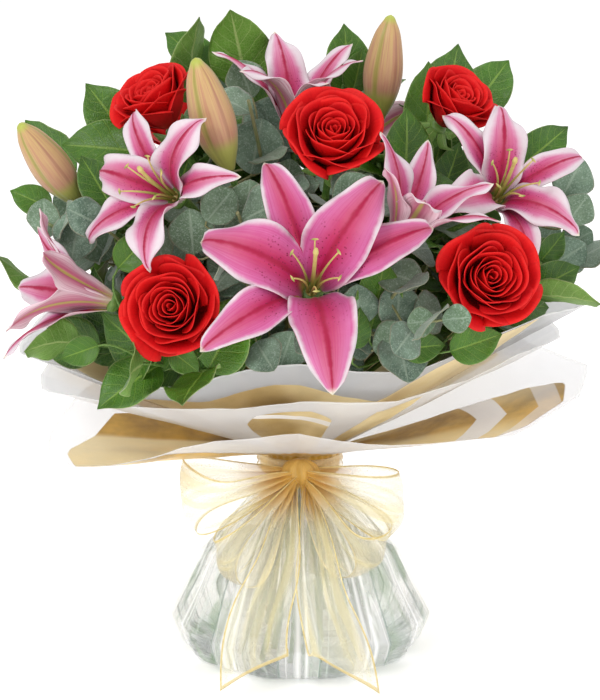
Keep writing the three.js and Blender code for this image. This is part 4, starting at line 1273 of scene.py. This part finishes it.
def lily(name, row, seed):
    seat, azimuth, elevation, length, opened, ways = row
    head = Head(seat, azimuth, elevation)
    making = Making(name + "_tepals")
    dice = random.Random(seed)
    for k, points in enumerate(ways):
        broad = k % 2 == 0
        flare, swing = tepal_arch(name, head, length, opened, broad, points)
        angle = radians(points + swing)
        half = (0.205 if broad else 0.15) * length * (0.88 + 0.12 * opened)
        wavy = (0.055 if broad else 0.035) * length
        phase = dice.random() * 6.3
        turn = dice.uniform(-1, 1)
        lines = {}

        def middle(u, v):
            key = round(v, 5)
            if key not in lines:
                lines[key] = tepal_line(length, opened, flare, broad, v)
            out, along, slope = lines[key]
            width = half * max(0, sin(pi * v ** 0.95)) ** 0.82
            width *= 1 if broad else 0.76 + 0.24 * ease(0.3, 0.6, v)
            lift = width * (1.9 * v * (1 - v) ** 1.5 - 0.25 * v) * u * u
            ruffle = wavy * abs(u) ** 3 * sin(15 * v + phase + 1.3 * u) * ease(0.1, 0.5, v)
            ruffle *= (1 - ease(0.9, 1, v)) * min(1, 0.4 + opened)
            groove = -1.1 * exp(-(u / 0.13) ** 2) * ease(0, 0.2, v) * (1 - ease(0.75, 1, v))
            ribs = 0.25 * cos(u * 14) * (1 - abs(u)) * ease(0.05, 0.3, v)
            lift += ruffle - groove + ribs - 2.2 * ease(0.9, 1, v) * opened
            side = head.aside(angle) * (u * width + turn * 1.5 * sin(pi * v))
            return head.place(angle, out - lift * cos(slope), along + lift * sin(slope)) + side

        making.blade(middle, 18, 34, own=dice.random(), rank=PALE.get(name, 1.0))
    making.finished([LILY_BACK, LILY], "lily_tepal", [name], thick=0.5)
    cup = Making(name + "_cup")
    rows = [(0.01, 0.3), (4.4, 0.4), (6.3, 2), (7.4, 4.5), (7.6, 7), (5, 8.2), (0.01, 8)]
    cup.turned(head, rows, 24, lambda angle: 1 + 0.05 * cos(6 * angle))
    cup.finished([STEM], "lily_tepal", [name])


def stamens(name, row):
    """Six filaments, each ending in a short bar, and the pistil."""
    seat, azimuth, elevation, length, _, _ = row
    head = Head(seat, azimuth, elevation)
    node = name + "_stamens"
    making = Making(node + "_filaments")
    reach = length * 0.6

    def arch(angle, root, out, tall):
        a = head.place(angle, root, 9)
        b = head.place(angle, root + 2, tall * 0.7)
        c = head.place(angle, out, tall)
        return spaced(lambda t: a * (1 - t) ** 2 + b * (2 * t * (1 - t)) + c * t * t, 16)

    for k in range(6):
        places = arch(pi * (k + 0.5) / 3, 2.6, 17, reach)
        making.tube(places, [1.05 - 0.6 * j / 16 for j in range(17)], 8)
        across = (places[-1] - places[-2]).normalized().cross(head.axis).normalized()
        bar = [places[-1] + across * (2.6 * (j - 4) / 4) for j in range(9)]
        making.tube(bar, [0.05 + 0.75 * sin(pi * j / 8) for j in range(9)], 8)
    making.tube(arch(pi / 2, 0, 8, reach * 1.12), [1.25] * 15 + [1.9, 1.3], 9)
    making.turned(head, [(0.01, 8.4), (3.4, 8.5), (4, 9.3), (3.2, 10.4), (0.01, 10.8)], 16)
    making.finished([FILAMENT], "stamen", [node])


def bud(name, row):
    seat, azimuth, elevation, length = row
    making = Making(name + "_skin")
    knots = [(0.155, 0.26), (0.18, 0.5), (0.125, 0.8), (0.045, 0.97)]
    line = catmull([(4, 0, 0.3)] + [(r * length, 0, z * length) for r, z in knots])
    rows = [(0.01, 0.3)] + [(p.x, p.z) for p in even(line, 40)]
    rows += [(0.03 * length, 0.985 * length), (0.01, length)]

    def shape(angle):
        seam = exp(-(cos(1.5 * angle) / 0.1) ** 2)
        return 1 + 0.06 * cos(3 * angle) + 0.012 * cos(24 * angle) - 0.05 * seam

    making.turned(Head(seat, azimuth, elevation), rows, 72, shape)
    making.finished([BUD], "lily_bud", [name])


# ---------------------------------------------------------------- stems

STALK = TWIG * 1.5


def matched_stem(node, ring, slot, end, arrive, radius):
    """The bend that the plain stem took."""
    curves = [stem_curve(ring, slot, end, arrive, steer, sway) for steer, sway in BENDS]
    return best_fit(node, curves, lambda curve: [curve(k / STEM_STEPS) for k in (2, 3, 4, 5)], radius)


def stem_tube(making, curve, radius, steps=44):
    knots = [radius * (1 + 0.05 * sin(k * 1.9) + 0.04 * sin(k * 0.7)) for k in range(steps + 1)]
    making.tube(even(curve, steps), knots, 12)


def lily_stem(node, row):
    """A stem that forks into a stalk for each of its blooms and buds."""
    ring, slot, fork, heads = row
    place = Vector(fork)
    lean = ((place - HEART).normalized() + UP).normalized()
    making = Making(node + "_wood")
    stem_tube(making, matched_stem(node, ring, slot, place, lean, LILY_STEM), LILY_STEM)
    for name in heads:
        head = Head(*(LILIES.get(name) or BUDS[name])[:3])
        far = (head.seat - place).length
        stalks = []
        for steer, sway in BENDS:
            aside = swayed(place, head.seat, sway) * 0.6
            leaving = place + lean * (far * 0.25 * steer) + aside
            arriving = head.seat - head.axis * (far * 0.45 * steer)
            stalks.append(bezier(place - lean * 5, leaving, arriving, head.seat - head.axis * 0.05))
        stalk = best_fit(node, stalks, lambda curve: spaced(curve, 4)[1:4], STALK)
        making.tube(spaced(stalk, 24), [STALK * (1 + 0.5 * ease(20, 24, j)) for j in range(25)], 10)
    making.finished([STEM], "green_stem", [node])


# ---------------------------------------------------------------- leaves


def facing(front, ahead):
    """The front way, squared to the way ahead."""
    return (front - ahead * front.dot(ahead)).normalized()


def leaf_frame(curve, t, turn, lean):
    """Where a leaf is rooted, the way it points, the way it faces: turned round its stem from the side that
    lies flat on the dome."""
    root = curve(t)
    along = tangent(curve, t)
    outward = (root - HEART).normalized()
    side = along.cross(outward).normalized()
    over = side.cross(along)
    way = side * cos(turn) + over * sin(turn)
    ahead = (along * cos(lean) + way * sin(lean)).normalized()
    return root, ahead, facing(outward, ahead)


def leaf_surface(root, ahead, face, kind, size, dice):
    """The middle surface of a leaf: folded along its midrib, drooping, with a wavy rim and a little curl."""
    length, half, broadest, droop, fold, wave, _, pairs = kind
    across = ahead.cross(face)
    long, broad = length * size, half * size
    phase = dice.random() * 6.3
    curl = dice.uniform(-0.05, 0.06)
    ribs = 0.12 if pairs else 0.35

    def middle(u, v):
        v = 0.35 * v + 0.325 * (1 - cos(pi * v))
        width = broad * max(0, sin(pi * v ** broadest)) ** (0.66 if pairs else 0.7)
        width *= 1 + 0.06 * sin(5 * v + phase) if pairs else 1 - 0.5 * ease(0.78, 1, v)
        crease = sqrt(u * u + 0.006) - 0.077
        lift = width * (fold * crease + wave * u * u * sin(9 * v + 2 * u))
        lift += width * 0.07 * u * u * sin(13 * v + phase + 2 * u)
        lift += ribs * sin(24 * v - 9 * abs(u)) * (1 - abs(u))
        sag = droop * long * v * v + curl * long * sin(pi * v) * (1 - v)
        return root + ahead * (0.6 + long * v) + across * (u * width) + face * (lift - sag)

    return middle


def leaves_on(making, node, curve, kind, count, start, seed, dice):
    """The leaves that the plain spray holds on this curve, each at its own turn."""
    length, _, _, droop, _, _, leaning, pairs = kind
    for k in range(count):
        at_tip = k == count - 1
        rank = k // 2 if pairs else k
        ranks = (count - 1) // 2 if pairs else count - 1
        t = 0.985 if at_tip else start + (0.96 - start) * rank / ranks
        side = pi if k % 2 else 0
        crossed = pi / 2.6 if pairs and rank % 2 else 0
        size = 0.84 + 0.32 * ((seed * 0.37 + k * 0.618034) % 1)
        lean = radians(8 if at_tip else leaning)
        for share, turned in POSES:
            root, ahead, face = leaf_frame(curve, t, side + crossed + radians(turned), lean)
            long = length * size * share
            if has_tip(node, root + ahead * (0.6 + long) - face * (droop * long)):
                surface = leaf_surface(root, ahead, face, kind, size * share, dice)
                making.blade(surface, 12, 16, own=dice.random())
                break


# ---------------------------------------------------------------- leafy sprays

SPRAYS = {}
FORK = 0.62
SHOOT = TWIG * 1.1


def foliage(node, row, seed):
    """A leafy stem, with its side shoot, as wood and leaves in the making."""
    kind, slot, tip, azimuth, elevation, shoot_tip, count = row
    arrive = Head(tip, azimuth, elevation).axis
    curve = matched_stem(node, 2, slot, Vector(tip), arrive, LEAFY_STEM)
    fork = curve(FORK)
    end = Vector(shoot_tip)
    far = (end - fork).length
    outwards = (end - HEART).normalized()
    shoot = bezier(fork, fork + tangent(curve, FORK) * (far * 0.3), end - outwards * (far * 0.35), end)
    has_shoot = stray(node, spaced(shoot, 3)[1:4], SHOOT) < 1.2
    wood = Making(node + "_wood")
    wood.tube(even(curve, 44), [LEAFY_STEM * (1 - 0.45 * ease(10, 44, k)) for k in range(45)], 10)
    leaves = Making(node + "_leaves")
    dice = random.Random(seed)
    main = ceil(count * 0.6)
    leaves_on(leaves, node, curve, kind, main, 0.74, seed, dice)
    if has_shoot:
        wood.tube(spaced(shoot, 20), [SHOOT * (1 - 0.3 * k / 20) for k in range(21)], 8)
        leaves_on(leaves, node, shoot, kind, count - main, 0.45, seed + 0.5, dice)
    SPRAYS[node] = {"kind": kind, "curve": curve, "wood": wood, "leaves": leaves}


def finish_foliage():
    for node, spray in SPRAYS.items():
        gum = spray["kind"] is EUCALYPTUS
        slot = "eucalyptus_leaf" if gum else "salal_leaf"
        spray["wood"].finished([TWIG_SKIN if gum else STEM], slot, [node])
        spray["leaves"].finished([GUM_LEAF, GUM_BACK] if gum else [LEAF, LEAF_BACK], slot, [node], thick=0.45)


# ---------------------------------------------------------------- leaves between the blooms

# Leaves that show between the blooms in front, above and at the sides: kind, Y, and X and Z of foot and tip.
SHOWN = [
    (SALAL, -20, (-112, 366), (-142, 412)), (SALAL, -40, (-108, 369), (-160, 377)),
    (SALAL, -62, (-126, 336), (-144, 369)), (SALAL, -40, (-168, 330), (-195, 343)),
    (SALAL, 14, (-60, 413), (-89, 443)), (EUCALYPTUS, -20, (-32, 401), (-42, 427)),
    (EUCALYPTUS, -44, (-26, 365), (-3, 410)), (EUCALYPTUS, -60, (-33, 357), (-25, 394)),
    (SALAL, 24, (33, 396), (34, 444)), (SALAL, 10, (36, 401), (44, 430)),
    (SALAL, 22, (90, 357), (114, 428)), (SALAL, 4, (85, 362), (93, 420)),
    (SALAL, -50, (70, 347), (75, 398)), (SALAL, -20, (150, 355), (182, 381)),
    (EUCALYPTUS, -20, (178, 331), (193, 359)), (EUCALYPTUS, -30, (181, 316), (196, 336)),
    (EUCALYPTUS, -10, (179, 294), (201, 307)), (SALAL, -64, (154, 278), (188, 294)),
    (SALAL, -50, (162, 295), (179, 314)), (EUCALYPTUS, -136, (22, 350), (46, 369)),
    (EUCALYPTUS, -124, (25, 352), (34, 372)), (EUCALYPTUS, -130, (-69, 318), (-71, 348)),
    (EUCALYPTUS, -130, (-61, 340), (-44, 361)), (EUCALYPTUS, -120, (-35, 335), (-32, 365)),
    (EUCALYPTUS, -84, (-170, 319), (-172, 346)), (EUCALYPTUS, -80, (-152, 302), (-146, 337)),
    (SALAL, -128, (46, 268), (57, 313)), (SALAL, -140, (65, 258), (94, 261)),
    (SALAL, -140, (34, 258), (40, 284)), (SALAL, -120, (97, 251), (131, 262)),
    (SALAL, -130, (-131, 258), (-157, 249)), (SALAL, -150, (-84, 260), (-65, 245)),
    (SALAL, -120, (-119, 307), (-97, 331)), (SALAL, 10, (89, 339), (101, 371)),
    (SALAL, -50, (-116, 320), (-143, 334)), (EUCALYPTUS, -70, (-126, 302), (-144, 320)),
    (EUCALYPTUS, -40, (-149, 325), (-165, 340)), (EUCALYPTUS, 20, (-51, 385), (-44, 413)),
    (SALAL, 16, (-26, 375), (-21, 405)), (EUCALYPTUS, -50, (-11, 341), (-6, 365)),
    (EUCALYPTUS, -30, (172, 288), (195, 302)), (EUCALYPTUS, -158, (88, 282), (69, 280)),
    (EUCALYPTUS, -158, (90, 282), (109, 284)), (SALAL, 4, (97, 329), (112, 364)),
    (SALAL, 20, (123, 330), (118, 360)), (EUCALYPTUS, 4, (164, 289), (178, 309)),
    (SALAL, -30, (-84, 336), (-74, 368)), (EUCALYPTUS, 20, (154, 292), (174, 299)),
    (SALAL, -10, (-71, 329), (-82, 357)), (EUCALYPTUS, -60, (-74, 340), (-64, 356)),
]
SHIFTS = (0, 6, -6, 12, -12, 18, -18, 26, -26)
TILTS = (0.3, -0.3, 0.7, -0.7, 0.0)
BUDDING = (0.42, 0.5, 0.58, 0.66, 0.74, 0.82, 0.9)
# Leaves that fill the dome: how many directions are tried, and at what depth.
FILLING = ((300, 160), (210, 128), (120, 96))


def open_space():
    """The blooms, buds and wraps that a leaf between them has to miss."""
    corners, faces = [], []
    for name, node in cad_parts.items():
        if name.startswith(("rose", "lily", "wrap")) and "stem" not in name:
            start = len(corners)
            corners += [v.co / MM for v in node.data.vertices]
            faces += [[start + k for k in polygon.vertices] for polygon in node.data.polygons]
    return BVHTree.FromPolygons(corners, faces)


def misses(space, places, near):
    """Whether a line through these places stays this far off everything in the space."""
    for a, b in zip(places, places[1:]):
        way = b - a
        if space.find_nearest(a, near)[0] or space.ray_cast(a, way.normalized(), way.length + near)[0]:
            return False
    return not space.find_nearest(places[-1], near)[0]


def leaf_misses(space, lines, near):
    return all(misses(space, line, near) for line in lines)


def over_rim(place):
    """Whether a place beyond the inner wrap's rim is above it, and not hanging down outside the paper."""
    reach, height = rim_at(WRAPS["wrap_inner_paper"][2], degrees(atan2(place.x, -place.y)))
    return hypot(place.x, place.y) < reach - 2 or place.z > height + 3


def scattered(count):
    """Directions spread evenly over a ball."""
    for k in range(count):
        z = 1 - 2 * (k + 0.5) / count
        a = k * 2.399963
        r = sqrt(1 - z * z)
        yield Vector((r * cos(a), r * sin(a), z))


def leaf_lines(surface):
    lines = [[surface(u, v) for v in (0, 0.2, 0.4, 0.6, 0.8, 1)] for u in (-1, 0, 1)]
    return lines + [[surface(-1, v), surface(1, v)] for v in (0.25, 0.5, 0.75)]


def starts_on(sprays, shares):
    """Where twigs can leave these leafy stems."""
    return [(spray["curve"](t), spray) for spray in sprays for t in shares]


def twig_path(start, root, ahead, bow, steps):
    """A twig from a leafy stem to a leaf's root, bowed that way."""
    far = (root - start).length
    leaving = start + (root - start) * 0.3 + bow
    return spaced(bezier(start, leaving, root - ahead * (far * 0.3), root + ahead), steps)


def grow(spray, surface, across, along, path, radius, taper, dice):
    """A leaf and its twig, added to the spray that they belong to."""
    spray["leaves"].blade(surface, across, along, own=dice.random())
    last = len(path) - 1
    spray["wood"].tube(path, [radius - taper * k / last for k in range(last + 1)], 6)


def show_leaf(space, kind, foot, tip, dice):
    """A leaf that stands out between the blooms, moved a little in or out to where it and its twig fit."""
    size = (tip - foot).length / kind[0]
    ahead = (tip - foot).normalized()
    starts = starts_on([spray for spray in SPRAYS.values() if spray["kind"] is kind], BUDDING[1:])
    for shift, tilt in [(shift, tilt) for shift in SHIFTS for tilt in TILTS]:
        root = foot + Vector((0, shift, -0.27 * shift))
        front = Vector((tilt, -1, 0.3)) + (root - HEART).normalized() * 0.4
        surface = leaf_surface(root, ahead, facing(front, ahead), kind, size, dice)
        if not leaf_misses(space, leaf_lines(surface), 3.0):
            continue
        for start, spray in sorted(starts, key=lambda row: (row[0] - root).length)[:8]:
            path = twig_path(start, root, ahead, Vector(), 10)
            if misses(space, path, 1.4):
                grow(spray, surface, 12, 16, path, 1.0, 0.3, dice)
                return


def leaves_shown(dice):
    space = open_space()
    for kind, y, foot, tip in SHOWN:
        show_leaf(space, kind, Vector((foot[0], y, foot[1])), Vector((tip[0], y, tip[1])), dice)


def any_way(dice):
    return Vector((dice.uniform(-1, 1), dice.uniform(-1, 1), dice.uniform(-1, 1)))


def fill_spot(space, way, spot, starts, dice):
    """A leaf in this spot if one fits, of the kind of one of the nearest stems, on a twig from it."""
    def far_from(row):
        return (row[0] - spot).length + (0 if row[0].z < spot.z else 30)

    near = sorted(starts, key=far_from)[:4]
    for attempt in range(10):
        start, spray = near[attempt % len(near)]
        kind = spray["kind"]
        size = dice.uniform(0.78, 1.06)
        sidewards = way.cross(any_way(dice)).normalized()
        ahead = (sidewards + way * dice.uniform(0.15, 0.8) + Vector((0, 0, 0.25))).normalized()
        root = spot - ahead * (kind[0] * size * 0.5)
        surface = leaf_surface(root, ahead, facing(way, ahead), kind, size, dice)
        lines = leaf_lines(surface)
        if not all(over_rim(place) for line in lines for place in line):
            continue
        far = (root - start).length
        path = twig_path(start, root, ahead, way * far * 0.12, 8)
        if far < 110 and misses(space, path, 1.5) and leaf_misses(space, lines, 1.2):
            grow(spray, surface, 8, 12, path, 0.9, 0.25, dice)
            return


def fill_between(dice):
    """Leaves on short twigs fill the dome between the blooms, in three depths."""
    space = open_space()
    starts = starts_on(SPRAYS.values(), BUDDING)
    for count, depth in FILLING:
        for way in scattered(count):
            if way.z >= -0.02:
                spot = HEART + way * (depth * dice.uniform(0.92, 1.08))
                spot.z -= 6
                fill_spot(space, way, spot, starts, dice)


# ---------------------------------------------------------------- the whole bouquet

random.seed(7)
film_pack()
water()
twine()
wrap("wrap_inner_paper", TAN, "tan_paper", 1)
wrap("wrap_middle_film", FROST, "frosted_film", 2)
wrap("wrap_outer_paper", GOLD, "gold_paper", 3)
for number, row in enumerate(LOOPS):
    ribbon_loop(number, *row)
for number, row in enumerate(TAILS):
    ribbon_tail(number, *row)
ribbon_knot()
for seed, (name, row) in enumerate(ROSES.items()):
    rose(name, row, seed)
    rose_stem(name, row)
for seed, (name, row) in enumerate(LILIES.items()):
    lily(name, row, seed + 20)
    if row[4] > 0.9:
        stamens(name, row)
for name, row in BUDS.items():
    bud(name, row)
for name, row in LILY_STEMS.items():
    lily_stem(name, row)
for seed, (name, row) in enumerate(FOLIAGE.items()):
    foliage(name, row, seed)
leaves_shown(random.Random(5))
fill_between(random.Random(11))
finish_foliage()

# ---------------------------------------------------------------- floor, light, camera

bpy.ops.mesh.primitive_plane_add(size=12)
floor = bpy.context.active_object
floor.name = "pale_floor"
floor.data.materials.append(floor_paint())

# Lamps, in metres and watts: place, the height that they shine at, size, power.
LAMPS = {
    "key": ((-1.3, -1.9, 1.9), 0.25, 1.2, 30),
    "fill": ((1.9, -1.5, 0.9), 0.25, 1.6, 9),
    "low": ((0.3, -2.2, 0.35), 0.2, 1.4, 6),
    "top": ((0.2, 0.6, 2.3), 0.3, 1.5, 10),
}
SKY = 0.75
CAMERA_TARGET = Vector((0, 0, 0.22))
CAMERA_TILT = radians(15)
CAMERA_DISTANCE = 2.0
CAMERA_LENS = 146.9


def area_light(name, place, height, size, power):
    lamp = bpy.data.lights.new(name, "AREA")
    lamp.shape = "DISK"
    lamp.size = size
    lamp.energy = power
    light = bpy.data.objects.new(name, lamp)
    bpy.context.scene.collection.objects.link(light)
    light.location = place
    light.rotation_euler = (Vector((0, 0, height)) - Vector(place)).to_track_quat("-Z", "Y").to_euler()


for name, row in LAMPS.items():
    area_light(name, *row)

world = bpy.data.worlds.new("studio")
bpy.context.scene.world = world
world.use_nodes = True
sky = world.node_tree.nodes["Background"].inputs
sky[0].default_value = (1, 1, 1, 1)
sky[1].default_value = SKY

camera_data = bpy.data.cameras.new("camera")
camera_data.lens = CAMERA_LENS
camera_data.sensor_width = 36
camera = bpy.data.objects.new("camera", camera_data)
bpy.context.scene.collection.objects.link(camera)
back = Vector((0, -cos(CAMERA_TILT), sin(CAMERA_TILT)))
camera.location = CAMERA_TARGET + back * CAMERA_DISTANCE
camera.rotation_euler = (-back).to_track_quat("-Z", "Y").to_euler()
bpy.context.scene.camera = camera
bpy.context.scene.view_settings.view_transform = "Standard"
